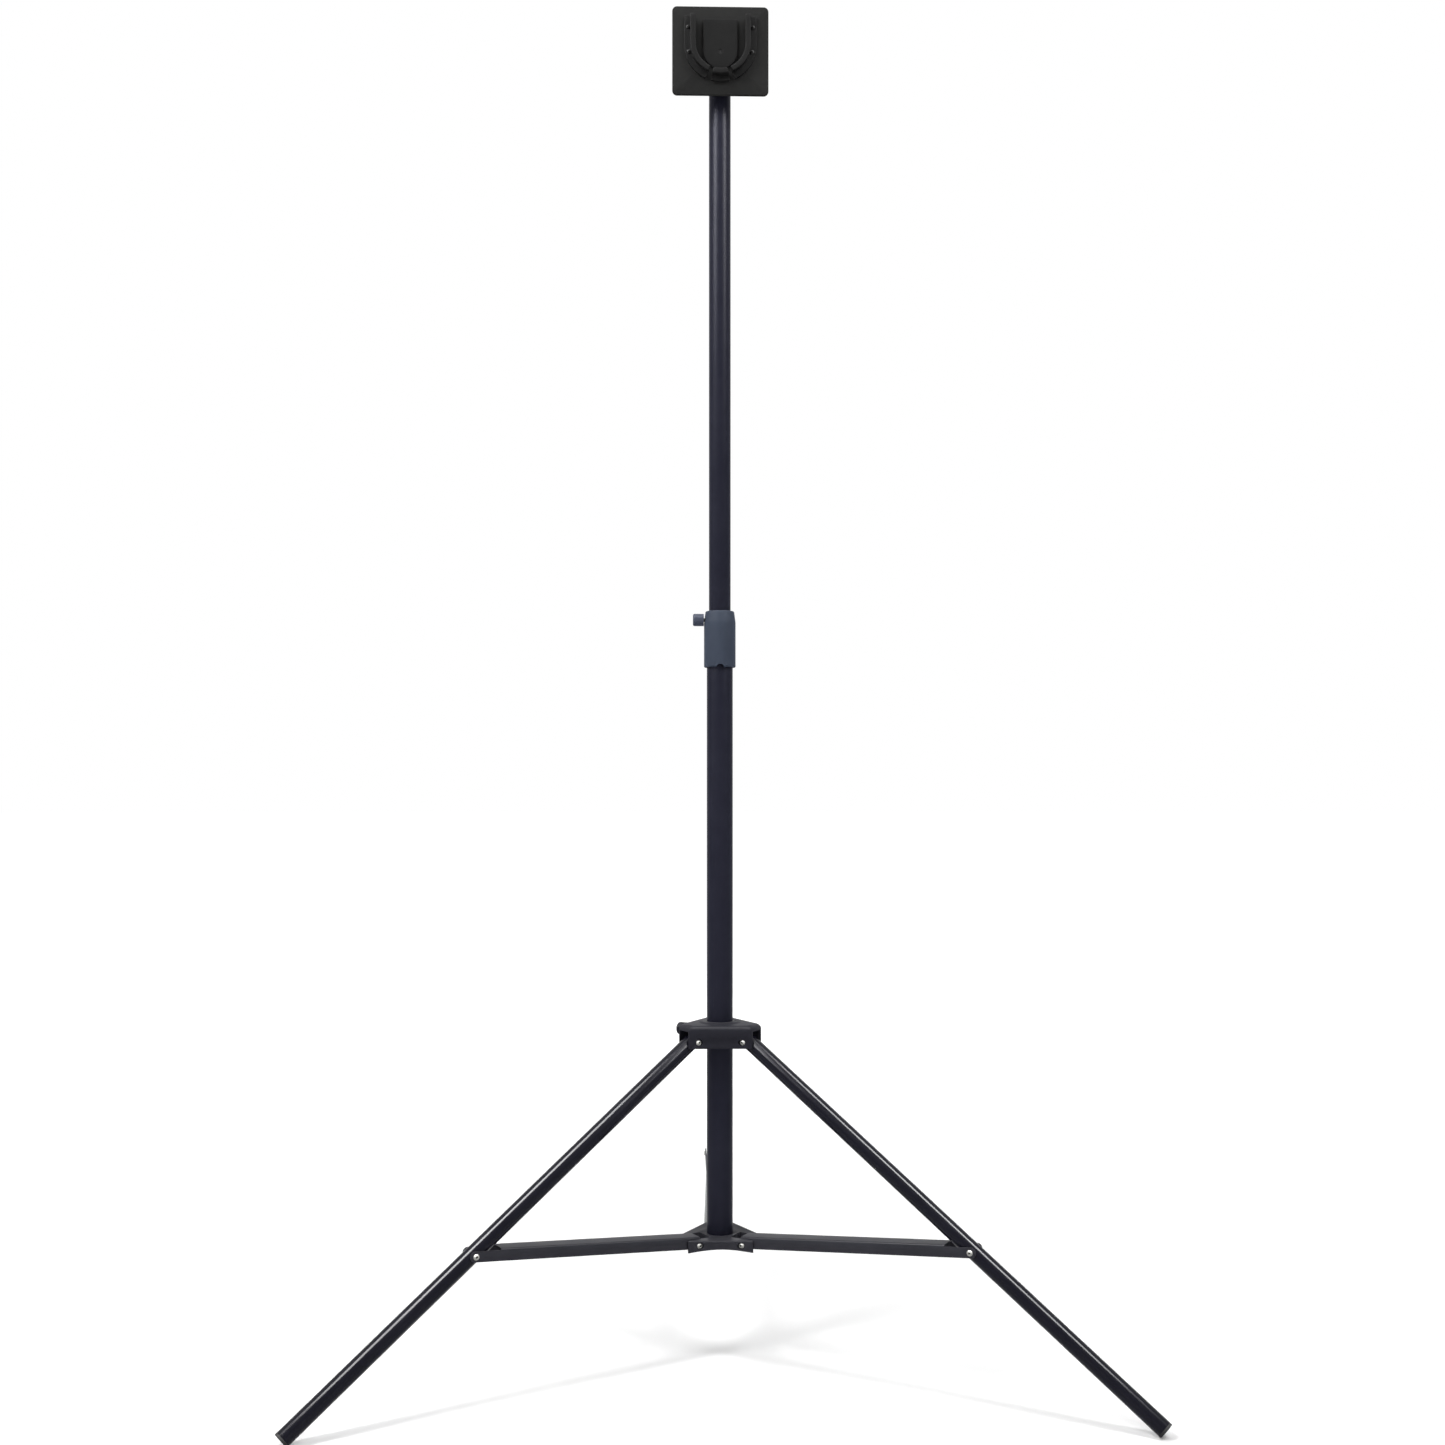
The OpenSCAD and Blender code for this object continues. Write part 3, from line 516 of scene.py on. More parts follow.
FINISH = {
    "tube_paint": finish_of(
        "tube paint", (0.015, 0.0155, 0.026), (0.019, 0.0195, 0.031), (0.30, 0.38), 1500.0, 0.004 * MM,
        gloss=0.03, dust=0.03, rub=0.10),
    # The tube paint again for the legs, with painted shade: a darker colour for how light falls on them, and
    # a glossier surface.
    "shaded_leg_paint": finish_of(
        "tube paint shaded for legs", (0.003, 0.003, 0.008), (0.005, 0.005, 0.011), (0.16, 0.20), 1500.0, 0.003 * MM,
        gloss=0.12, dust=0.02, rub=0.08),
    "brace_paint": finish_of(
        "brace paint", (0.027, 0.027, 0.033), (0.034, 0.034, 0.042), (0.34, 0.44), 1300.0, 0.015 * MM,
        gloss=0.05, dust=0.03),
    "hub_plastic": finish_of(
        "hub moulding", (0.0135, 0.0135, 0.019), (0.019, 0.019, 0.026), (0.42, 0.54), 2200.0, 0.03 * MM,
        gloss=0.05, dust=0.04),
    "collar_plastic": finish_of(
        "collar moulding", (0.035, 0.044, 0.066), (0.043, 0.054, 0.079), (0.50, 0.60), 2200.0, 0.03 * MM,
        gloss=0.05, dust=0.03),
    "knob_plastic": finish_of(
        "knob moulding", (0.044, 0.051, 0.080), (0.054, 0.063, 0.094), (0.45, 0.55), 2200.0, 0.03 * MM,
        gloss=0.08),
    "plate_paint": finish_of(
        "plate powder coat", (0.0168, 0.0168, 0.0165), (0.021, 0.021, 0.0207), (0.6, 0.7), 1800.0, 0.05 * MM,
        gloss=0.01, dust=0.02),
    "track_paint": finish_of(
        "track coat", (0.0097, 0.0097, 0.0097), (0.0128, 0.0128, 0.0128), (0.50, 0.60), 1800.0, 0.04 * MM,
        gloss=0.02, dust=0.02),
    "pad_plastic": finish_of(
        "pad moulding", (0.0130, 0.0130, 0.0130), (0.0160, 0.0160, 0.0160), (0.55, 0.65), 2400.0, 0.03 * MM,
        gloss=0.01),
    "socket_aluminium": finish_of(
        "socket casting", (0.017, 0.017, 0.018), (0.024, 0.024, 0.025), (0.50, 0.64), 1200.0, 0.06 * MM,
        gloss=0.18, dust=0.05),
    "rivet_steel": finish_of(
        "rivet nickel", (0.24, 0.24, 0.225), (0.30, 0.30, 0.285), (0.52, 0.62), 2600.0, 0.01 * MM,
        gloss=0.2, metal=0.6),
    # Painted shade: a dark colour for the plugs in the rivets' hollows, where the recess is shaded.
    "rivet_hollow_shade": finish_of(
        "rivet hollow painted shade", (0.020, 0.020, 0.018), (0.035, 0.034, 0.030), (0.6, 0.7), 2600.0, 0.01 * MM,
        gloss=0.1),
    "screw_steel": finish_of(
        "blackened screw", (0.012, 0.012, 0.012), (0.020, 0.020, 0.020), (0.55, 0.65), 2600.0, 0.01 * MM,
        gloss=0.1, metal=0.5),
    "sunk_screw": finish_of(
        "sunk screw", (0.003, 0.003, 0.003), (0.005, 0.005, 0.005), (0.6, 0.7), 2600.0, 0.01 * MM,
        gloss=0.05),
    "inner_nylon": finish_of(
        "inner nylon", (0.020, 0.020, 0.022), (0.028, 0.028, 0.030), (0.5, 0.6), 2000.0, 0.02 * MM,
        gloss=0.25),
    "insert_brass": finish_of(
        "insert brass", (0.48, 0.34, 0.12), (0.56, 0.40, 0.16), (0.28, 0.36), 2600.0, 0.01 * MM,
        metal=1.0),
    "foot_rubber": finish_of(
        "foot rubber", (0.010, 0.010, 0.011), (0.016, 0.016, 0.017), (0.66, 0.8), 1500.0, 0.05 * MM,
        gloss=0.20, dust=0.08),
}


# Tubes
def tube_profile(start, end, radius, wall):
    """The closed section of a tube's wall, with its four edges eased."""
    inner = radius - wall
    corners = [(start, inner), (start, radius), (end, radius), (end, inner)]
    return closed(fillet(corners, TUBE_EDGE, 4))


def mast_tubes():
    """The two tubes of the mast, as hollow sections turned about its axis."""
    for node, body, wall in (("lower_tube", "base", LOWER_WALL), ("upper_tube", "mast", UPPER_WALL)):
        low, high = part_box(node)
        profile = tube_profile(low.z, high.z, (high.x - low.x) / 2, wall)
        tube = skin(node + "_skin", [revolve(profile, mast_place())])
        fit(tube, FINISH["tube_paint"], "tube_paint", body, node)


def leg_tubes():
    """The three legs, as hollow sections turned about their own axes."""
    for i in LEGS:
        place, node = leg_place(i), f"leg_tube_{i}"
        start, end = span(node, place.origin, place.first)
        radius = span(node, place.origin, place.second)[1]
        profile = tube_profile(start, end, radius, LEG_WALL)
        tube = skin(node + "_skin", [revolve(profile, place)])
        # Painted shade: the legs take a darker copy of the tube paint.
        fit(tube, FINISH["shaded_leg_paint"], "tube_paint", f"leg_{i}", node)


def feet():
    """Rubber plugs: a stem inside the tube and a tread as wide as the tube, with a rounded edge."""
    edge, seam = 1.0 * MM, 0.25 * MM
    for i in LEGS:
        place, node = leg_place(i), f"foot_{i}"
        start, end = span(node, place.origin, place.first)
        radius = span(node, place.origin, place.second)[1]
        stem = radius - LEG_WALL - FIT_GAP
        top = end - TREAD
        sides = [(start, 0.0), (start, stem), (top, stem), (top, radius - seam), (top + seam, radius)]
        sides += half_round(edge, (end - edge, radius - edge), 90, 0, 7).tolist()
        sides += [(end, 0.0)]
        fit(skin(node + "_skin", [revolve(sides, place)]), FINISH["foot_rubber"], "foot_rubber",
            f"leg_{i}", node)


# Collar and clamp knobs
def collar():
    """A moulded sleeve: straight wall, drawn-in shoulder and rolled top edge, arched at the lower front.

    Point (h, u) lies on the revolved section, whose bore is stepped: the lower tube below, the bush above.
    Below the arch, a round bar's outline across the front, the section's lower part is raised to the arch.
    The clamp's hole goes through the wall, wider inside, where the shoe draws back."""
    low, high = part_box("collar")
    radius = (high.x - low.x) / 2
    length = high.z - low.z
    top = 16.5 * MM
    shoulder = 13.0 * MM
    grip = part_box("collar_bush")[0].z - low.z
    wide = span("lower_tube", MAST, ACROSS)[1] + FIT_GAP
    bore = span("collar_bush", MAST, ACROSS)[1] + FIT_GAP
    profile = closed(fillet(
        [(0, wide), (0, radius), (length - shoulder, radius), (length, top), (length, bore), (grip, bore),
         (grip, wide)],
        [0.3 * MM, 1.5 * MM, 9.0 * MM, 1.6 * MM, 0.5 * MM, 0, 0], 9))
    chord = math.sqrt(ARCH_RADIUS ** 2 - (ARCH_RADIUS - ARCH_HEIGHT) ** 2)
    half = math.asin(chord / radius)
    front = -math.pi / 2
    inside = front + half * np.sin(np.linspace(-math.pi / 2, math.pi / 2, 33))
    outside = np.linspace(front + half, front + 2 * math.pi - half, 97)[1:]
    u = np.concatenate([inside, outside])
    across = np.clip(np.abs(radius * np.cos(u)), 0, ARCH_RADIUS)
    arch = ARCH_HEIGHT - ARCH_RADIUS + np.sqrt(ARCH_RADIUS ** 2 - across ** 2)
    arch = np.where(np.sin(u) < 0, np.maximum(arch, 0), 0)
    height = profile[:, :1]
    height = np.where(height < arch, arch + 0.02 * height, height)
    grid = mast_place(low.z).put(height, profile[:, 1:] * np.cos(u), profile[:, 1:] * np.sin(u))
    screw = Place(MAST + box_mid("collar_insert")[2] * UP, -ACROSS, UP)
    back = span("collar_shoe", MAST, -ACROSS)[1] + STUD_PITCH + SHOE_GAP
    shoe, insert = (span(node, screw.origin, UP)[1] for node in ("collar_shoe", "collar_insert"))
    wide_hole, narrow_hole = shoe + SHOE_GAP, insert + FIT_GAP
    within, outside_end = 0.7 * bore, 1.2 * radius
    hole = [(within, 0.0), (within, wide_hole), (back, wide_hole), (back, narrow_hole),
            (outside_end, narrow_hole), (outside_end, 0.0)]
    sleeve = drilled(skin("collar_skin", [grid], 30.0), hole, screw, 30.0)
    fit(sleeve, FINISH["collar_plastic"], "collar_plastic", "base", "collar")


def knob(node, body, slot, turn, neck):
    """A many-sided knob on a neck, bevelled at both ends. With no neck its inner end lies flat.

    Its radius is a soft least of the distance to each flat and of the bevelled barrel: the sum of
    their inverse powers, to the inverse power, which rounds each edge a little."""
    axis = np.array([math.cos(turn), math.sin(turn), 0.0])
    place = Place(MAST + box_mid(node)[2] * UP, axis, UP)
    start, end = span(node, place.origin, axis)
    flat = span(node, place.origin, UP)[1]
    corner = flat / math.cos(math.pi / KNOB_SIDES)
    head = start + neck
    bore, stem = 2.6 * MM, 4.5 * MM
    u = np.linspace(0, 2 * math.pi, 193)
    power, soft = 34.0, 0.3 * MM
    facing = np.cos(u[:, None] - np.arange(KNOB_SIDES) * 2 * math.pi / KNOB_SIDES)
    polygon = flat * (np.clip(facing, 1e-6, 1) ** power).sum(1) ** (-1 / power)
    ease = np.array([0, 0.02, 0.08, 0.2, 0.4, 0.7, 1.0, 1.3, 1.6, 1.9, 2.3]) * MM
    h = np.concatenate([ease, np.linspace(2.8 * MM, end - head - 2.8 * MM, 8), end - head - ease[::-1]])
    depth = np.minimum(h, end - head - h)
    barrel = corner - KNOB_BEVEL + np.minimum(depth if neck else end - head - h, KNOB_BEVEL)
    barrel = barrel - soft * (1 - np.sqrt(1 - np.clip(1 - depth / soft, 0, 1) ** 2))
    reach = (polygon[None] ** -power + barrel[:, None] ** -power) ** (-1 / power)
    along = np.repeat(head + h[:, None], len(u), 1)
    lead = [(start, bore), (start, stem), (head, stem)] if neck else [(head, bore)]
    for spot, radius in reversed(lead):
        along = np.concatenate([np.full((1, len(u)), spot), along])
        reach = np.concatenate([np.full((1, len(u)), radius), reach])
    along = np.concatenate([along, np.full((2, len(u)), end)])
    reach = np.concatenate([reach, reach[-1:] * 0.9, np.zeros((1, len(u)))])
    grid = place.put(along, reach * np.cos(u), reach * np.sin(u))
    floor_of_bore = (head + end) / 2
    back = revolve([(start, bore), (floor_of_bore, bore), (floor_of_bore, 0.0)], place, 192)
    fit(skin(node + "_skin", [grid, back], 40.0), FINISH[slot], slot, body, node)


def stud(node, body, turn):
    """A threaded stud: its radius rises and falls once per pitch, a turn further on for each turn."""
    axis = np.array([math.cos(turn), math.sin(turn), 0.0])
    place = Place(MAST + box_mid(node)[2] * UP, axis, UP)
    start, end = span(node, place.origin, axis)
    major = span(node, place.origin, UP)[1]
    depth = 0.45 * MM
    ease = 0.8 * MM
    h = np.linspace(start, end, int((end - start) / STUD_PITCH * 8) + 1)[:, None]
    u = np.linspace(0, 2 * math.pi, 49)
    wave = np.abs(2 * np.mod(h / STUD_PITCH - u / (2 * math.pi), 1.0) - 1)
    taper = np.clip(np.minimum(h - start, end - h) / ease, 0, 1)
    radius = major - depth - depth * (1 - taper) + depth * wave * taper
    body_grid = place.put(h, radius * np.cos(u), radius * np.sin(u))
    caps = [np.stack([np.broadcast_to(place.put(x, 0.0, 0.0), row.shape), row])
            for x, row in ((start, body_grid[0]), (end, body_grid[-1]))]
    fit(skin(node + "_skin", [body_grid, *caps], 50.0), FINISH["rivet_steel"], "rivet_steel", body, node)


# Head plate
PLATE_LOW, PLATE_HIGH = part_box("head_plate")
PLATE = Place((MAST[0], PLATE_LOW.y, PLATE_LOW.z), ACROSS, UP)


def track_centre():
    """The height of the track's centre above the plate's lower edge."""
    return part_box("track_right")[1].z - PLATE_LOW.z - TRACK_STRAIGHT


def head_plate():
    """A rounded plate whose front and back edges are rolled over."""
    width, height = PLATE_HIGH.x - PLATE_LOW.x, PLATE_HIGH.z - PLATE_LOW.z
    thick = PLATE_HIGH.y - PLATE_LOW.y
    corner, roll = 5.5 * MM, 0.9 * MM
    half = width / 2
    outline = fillet([(-half, 0), (half, 0), (half, height), (-half, height)], corner, 12)
    front = [(roll * (1 - math.sin(a)), -roll * (1 - math.cos(a))) for a in np.radians((0, 30, 60, 90))]
    back = [(inset, -thick - level) for inset, level in reversed(front)]
    grid = slab(outline, front + back, PLATE, np.array((0.0, height / 2)))
    fit(skin("head_plate_skin", [grid]), FINISH["plate_paint"], "plate_paint", "head", "head_plate")


def track_section():
    """The rail's section, as (inset from its outer side, height above the plate), and a point within it."""
    tall = span("track_right", PLATE.origin, FRONT)[1]
    outer, inner = TRACK_FLANGE, TRACK_FLANGE + TRACK_WALL
    under = tall - TRACK_LIP_THICK
    corners = [(0, 0), (inner, 0), (inner, under), (inner + TRACK_LIP, under), (inner + TRACK_LIP, tall),
               (outer, tall), (outer, TRACK_FLANGE_THICK), (0, TRACK_FLANGE_THICK)]
    radii = np.array([0, 0, 0.5, 0.7, 0.9, 1.0, 0.5, 0.8]) * MM
    return fillet(corners, radii, 6), np.array((outer + TRACK_WALL / 2, TRACK_FLANGE_THICK / 2))


def carried(path, normal):
    """The rail's section carried along a path in the plate's plane, its ends eased and closed.

    Point (k, j) lies at path point k, moved inwards by the section's inset j and out by its height j.
    Near an end the section shrinks a little about its heart, which rounds the end."""
    section, heart = track_section()
    section = closed(section)
    ease = 0.8 * MM
    run = np.concatenate([[0], np.cumsum(np.linalg.norm(np.diff(path, axis=0), axis=1))])
    stations = np.unique(np.concatenate([run, ease * np.array([0, 0.15, 0.5, 1.0]),
                                         run[-1] - ease * np.array([0, 0.15, 0.5, 1.0])]))
    spots = np.stack([np.interp(stations, run, path[:, k]) for k in (0, 1)], 1)
    ways = np.stack([np.interp(stations, run, normal[:, k]) for k in (0, 1)], 1)
    near = np.clip(np.minimum(stations, run[-1] - stations) / ease, 0, 1)
    shrink = 1 - 0.12 * (1 - np.sqrt(1 - (1 - near) ** 2))
    inset = heart[0] + (section[:, 0] - heart[0]) * shrink[:, None]
    rise = np.maximum(heart[1] + (section[:, 1] - heart[1]) * shrink[:, None], 0)
    rise = np.where(section[None, :, 1] <= 0, 0, rise)
    flat = spots[:, None] - inset[..., None] * ways[:, None]
    grid = PLATE.put(flat[..., 0], flat[..., 1], rise)
    ends = []
    for k in (0, -1):
        middle = spots[k] - heart[0] * ways[k]
        pole = PLATE.put(middle[0], middle[1], heart[1])
        ends.append(np.stack([np.broadcast_to(pole, grid[k].shape), grid[k]]))
    return [grid, *ends]


def track():
    """Two rails, straight above the track's centre and round below it, and a stop tab between them."""
    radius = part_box("track_right")[1].x - MAST[0]
    centre = track_centre()
    straight = np.linspace(TRACK_STRAIGHT, 0, 8)[:-1]
    down = -math.pi / 2
    for side, node in ((-1, "track_left"), (1, "track_right")):
        turn = np.linspace(0, down + RAIL_END, 40)
        path = np.concatenate([np.stack([np.full(len(straight), radius), centre + straight], 1),
                               np.stack([radius * np.cos(turn), centre + radius * np.sin(turn)], 1)])
        normal = np.concatenate([np.tile((1.0, 0.0), (len(straight), 1)),
                                 np.stack([np.cos(turn), np.sin(turn)], 1)])
        fit(skin(node + "_skin", carried(path * (side, 1), normal * (side, 1)), 40.0),
            FINISH["track_paint"], "track_paint", "head", node)
    turn = np.linspace(down - TAB_END, down + TAB_END, 24)
    normal = np.stack([np.cos(turn), np.sin(turn)], 1)
    path = np.array((0, centre)) + radius * normal
    tab = skin("stop_tab_skin", carried(path, normal), 40.0)
    fit(tab, FINISH["track_paint"], "track_paint", "head", "stop_tab")


def centre_pad():
    """A raised U-shaped pad with a rolled edge and a dimple round its screw.

    Rows run from the dimple's floor out to the pad's edge and down to the plate. Between the dimple and
    the edge a point lies on the straight line from the dimple's rim to the edge, at the same angle."""
    low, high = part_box("centre_pad")
    radius = (high.x - low.x) / 2
    thick = PLATE_LOW.y - low.y
    top = high.z - PLATE_LOW.z
    middle = np.array((0.0, top - PAD_STRAIGHT))
    arc = half_round(radius, middle, 180, 360, 48)
    corners = fillet([(-radius, middle[1]), (radius, middle[1]), (radius, top), (-radius, top)],
                     [0, 0, 1.2 * MM, 1.2 * MM], 7)
    # The corners' first two points are the sides' lower ends. Seven for each upper corner follow.
    side = np.linspace(0, 1, 14)[1:-1, None]
    right = np.array((radius, middle[1])) + side * (corners[2] - np.array((radius, middle[1])))
    left = corners[-1] + side * (np.array((-radius, middle[1])) - corners[-1])
    cap = corners[8] + np.linspace(0, 1, 24)[1:-1, None] * (corners[9] - corners[8])
    outline = np.concatenate([arc, right, corners[2:9], cap, corners[9:], left])
    spoke = outline - middle
    spoke = spoke / np.linalg.norm(spoke, axis=1, keepdims=True)
    normal = outward(outline)
    roll = 1.0 * MM
    rows, heights = [np.broadcast_to(middle, outline.shape)], [thick - 0.9 * MM]
    for reach, depth in ((1.4, 0.9), (1.7, 0.8), (2.0, 0.45), (2.3, 0.15), (2.7, 0.02), (3.2, 0.0)):
        rows.append(middle + reach * MM * spoke)
        heights.append(thick - depth * MM)
    rim = rows[-1]
    for share in (0.3, 0.6, 0.85):
        rows.append(rim + share * (outline - roll * normal - rim))
        heights.append(thick)
    for angle in np.radians((0, 22.5, 45, 67.5, 90)):
        rows.append(outline - roll * (1 - math.sin(angle)) * normal)
        heights.append(thick - roll * (1 - math.cos(angle)))
    rows += [outline, np.broadcast_to(middle, outline.shape)]
    heights += [0.0, 0.0]
    flat = np.stack([closed(row) for row in rows])
    grid = PLATE.put(flat[..., 0], flat[..., 1], np.array(heights)[:, None])
    fit(skin("centre_pad_skin", [grid], 40.0), FINISH["pad_plastic"], "pad_plastic", "head", "centre_pad")


def cross_head(place, radius, rise, depth):
    """A domed head with a cross recess, on the plane of the place's first axis.

    The dome is part of a sphere. The recess takes its depth off wherever a point lies within the cross:
    near one of two lines through the middle, and within the cross's reach."""
    rho = np.concatenate([np.linspace(0, 0.62, 40), np.linspace(0.66, 1, 10)])[:, None] * radius
    u = np.linspace(0, 2 * math.pi, 97)
    crown = (radius ** 2 + rise ** 2) / (2 * rise)
    dome = rise - crown + np.sqrt(crown ** 2 - rho ** 2)
    x, y = np.abs(rho * np.cos(u)), np.abs(rho * np.sin(u))
    arm, reach, soft = 0.13 * radius, 0.55 * radius, 0.05 * radius
    within = np.clip((arm - np.minimum(x, y)) / soft + 0.5, 0, 1)
    within = within * np.clip((reach - np.maximum(x, y)) / soft + 0.5, 0, 1)
    height = dome - depth * within
    return place.put(height, rho * np.cos(u), rho * np.sin(u))


def track_screws():
    """Four screws: a shank through the rail, the plate and the flange, and a domed cross head."""
    solids = node_points("track_screws")
    tip, tall = span("track_screws", PLATE.origin, FRONT)
    seat = tall - SCREW_RISE
    shank = SCREW_SHANK
    grids = []
    flat = np.stack([(solids - PLATE.origin) @ ACROSS, (solids - PLATE.origin) @ UP], 1)
    mid_height = (flat[:, 1].max() + flat[:, 1].min()) / 2
    for side in (-1, 1):
        for upper in (True, False):
            own = flat[(np.sign(flat[:, 0]) == side) & ((flat[:, 1] > mid_height) == upper)]
            spot = (own.max(0) + own.min(0)) / 2
            place = Place(PLATE.put(spot[0], spot[1], seat), FRONT, ACROSS)
            head = cross_head(place, SCREW_HEAD / 2, SCREW_RISE, SCREW_RECESS)
            under = revolve([(0, SCREW_HEAD / 2), (0, shank), (tip - seat, shank), (tip - seat, 0)], place)
            grids += [head, under]
    fit(skin("track_screws_skin", grids, 40.0), FINISH["screw_steel"], "screw_steel", "head", "track_screws")


# Rivets and pivot pins
def rivet_profile(start):
    """Sections of a rivet head, from its rim over a low dome into its hollow, and of a dark plug in the
    hollow, which is painted shade.
    """
    radius, rise = RIVET_HEAD / 2, RIVET_RISE
    crown = (radius ** 2 + rise ** 2) / (2 * rise)
    hollow, lip, deep, free, seam = 1.3 * MM, 0.25 * MM, 2.4 * MM, 0.4 * MM, 0.01 * MM
    r = np.linspace(radius, hollow + lip, 14)
    dome = np.stack([start + rise - crown + np.sqrt(crown ** 2 - r ** 2), r], 1)
    level = dome[-1, 0]
    inward = half_round(lip, (level - lip, hollow + lip), 0, -90, 5)
    within = [(level - deep, hollow), (level - deep, 0.0)]
    under, over, wide = level - deep + seam, level - free, hollow - seam
    # The plug is a dark disc in the hollow: painted shade of the recess.
    shade_plug = [(under, 0.0), (under, wide), (over, wide), (over, 0.0)]
    return np.concatenate([dome, inward[1:], within]), np.array(shade_plug)


def rivets(node, body, shells, shade_plugs):
    """Rivets of a node: bright shells, and dark plugs in their hollows, which are painted shade."""
    fit(skin(node + "_skin", shells, 40.0), FINISH["rivet_steel"], "rivet_steel", body, node)
    fit(skin(node + "_hollow_shade", shade_plugs, 40.0), FINISH["rivet_hollow_shade"], "rivet_steel", body)


def pins(node, body, joints):
    """Pivot pins along the joints' axes, with a set head at each end."""
    shells, shade_plugs = [], []
    for name in joints:
        pivot, axis = joint(name)
        axis = axis / np.linalg.norm(axis)
        near = node_points(node) - pivot
        near = near[np.linalg.norm(near, axis=1) < PIN_REACH]
        half = (near @ axis).max() - RIVET_RISE
        head, shade_plug = rivet_profile(half)
        place = Place(pivot, axis, UP)
        section = np.concatenate([head[::-1], [(half, RIVET_SHANK), (-half, RIVET_SHANK)], head * (-1, 1)])
        shells.append(revolve(section, place, RIVET_STEPS))
        shade_plugs += [revolve(shade_plug * (side, 1), place, RIVET_STEPS) for side in (-1, 1)]
    rivets(node, body, shells, shade_plugs)


def brace_rivets():
    """The rivets of each brace's fork: a shank as long as the flange is thick, and one set head."""
    for i in LEGS:
        place, length = brace_place(i)
        node = f"brace_rivets_{i}"
        rivet = place.at(length)
        top = span(node, rivet.origin, rivet.second)[1]
        shells, shade_plugs = [], []
        for side in (-1, 1):
            own = Place(rivet.origin, side * rivet.second, UP)
            head, shade_plug = rivet_profile(top - RIVET_RISE)
            seat = top - RIVET_RISE
            inner = seat - BRACE_SHEET
            shank = [(seat, RIVET_SHANK), (inner, RIVET_SHANK), (inner, 0)]
            section = np.concatenate([head[::-1], shank])
            shells.append(revolve(section, own, RIVET_STEPS))
            shade_plugs.append(revolve(shade_plug, own, RIVET_STEPS))
        rivets(node, f"brace_{i}", shells, shade_plugs)


def hub_rivet():
    """The rivet that holds the lower hub to the tube: a shank and one set head."""
    node = "lower_hub_rivet"
    out = (box_mid(node) - MAST) * (1, 1, 0)
    place = Place(MAST + box_mid(node)[2] * UP, out / np.linalg.norm(out), UP)
    start, end = span(node, place.origin, place.first)
    seat, shank = end - RIVET_RISE, HUB_RIVET / 2
    head, shade_plug = rivet_profile(seat)
    section = np.concatenate([head[::-1], [(seat, shank), (start, shank), (start, 0)]])
    rivets(node, "base", [revolve(section, place, RIVET_STEPS)], [revolve(shade_plug, place, RIVET_STEPS)])


# Moulded and cast pieces, and the pressed braces
def castings():
    """The hubs and the head's socket, in the frame's own shapes with rounded edges."""
    for node, body, finish, slot in (("leg_hub", "leg_hub", "hub_plastic", "hub_plastic"),
                                     ("lower_hub", "base", "brace_paint", "hub_plastic"),
                                     ("head_socket", "head", "socket_aluminium", "socket_aluminium")):
        fit(softened(node, node + "_skin", CAST_EDGE), FINISH[finish], slot, body, node)


def braces():
    """Pressed channels: two flat flanges with round ends, and a web whose section is bent over to them.

    The web's section runs over the top and back under it, and is carried along the brace as far as the
    fork. Each end is closed by a strip between its upper and its lower line."""
    ease = 0.3 * MM
    for i in LEGS:
        place, length = brace_place(i)
        node = f"brace_{i}"
        start, end = span(node, place.origin, place.first)
        below, above = span(node, place.origin, place.third)
        half = span(node, place.origin, place.second)[1]
        inner, bend = half - BRACE_SHEET, above - BRACE_BEND
        top = bend + ease
        outline = fillet([(start, below), (end, below), (end, top), (start, top)], BRACE_ROUND, 12)
        upright = Place(place.origin, place.first, place.third)
        middle = np.array((length / 2, (below + bend) / 2))
        edge = [(ease, half), (0.3 * ease, half - 0.3 * ease), (0, half - ease), (0, inner + ease),
                (ease, inner)]
        grids = [slab(outline, [(inset, side * across) for inset, across in edge], upright, middle)
                 for side in (-1, 1)]
        over, under = (half_round(radius, (half - BRACE_BEND, bend), 0, 90, 9)
                       for radius in (BRACE_BEND, BRACE_BEND - BRACE_SHEET))
        lines = np.stack([np.concatenate([line, line[::-1] * (-1, 1)]) for line in (over, under)])
        section = closed(np.concatenate([lines[0], lines[1, ::-1]]))
        ends = (start + bend / 2, length - BRACE_FORK)
        grids.append(place.put(np.array(ends)[:, None], section[:, 0], section[:, 1]))
        grids += [place.put(spot, lines[..., 0], lines[..., 1]) for spot in ends]
        fit(skin(node + "_skin", grids, 40.0), FINISH["brace_paint"], "brace_paint", node, node)


# Pieces that stay as the frame has them, with a better finish
PLAIN = {
    "inner_nylon": ["lower_tube_plug", "collar_bush", "collar_shoe", "mast_glide", "upper_tube_plug",
                    "hub_bush", "hub_shoe", "leg_plug_1", "leg_plug_2", "leg_plug_3"],
    "insert_brass": ["collar_insert", "hub_insert"],
    "screw_steel": ["socket_screw"],
    "sunk_screw": ["pad_screw"],
}


def plain_nodes():
    """Gives the nodes that stay their finishes."""
    for slot, nodes in PLAIN.items():
        for node in nodes:
            mesh = frame["nodes"][node].data
            mesh.materials.clear()
            mesh.materials.append(FINISH[slot])


# Floor, light and camera
FLOOR_NEAR, FLOOR_FAR = (0.7, 0.12), (4.0, 0.74)  # distance from the stand, and glow there


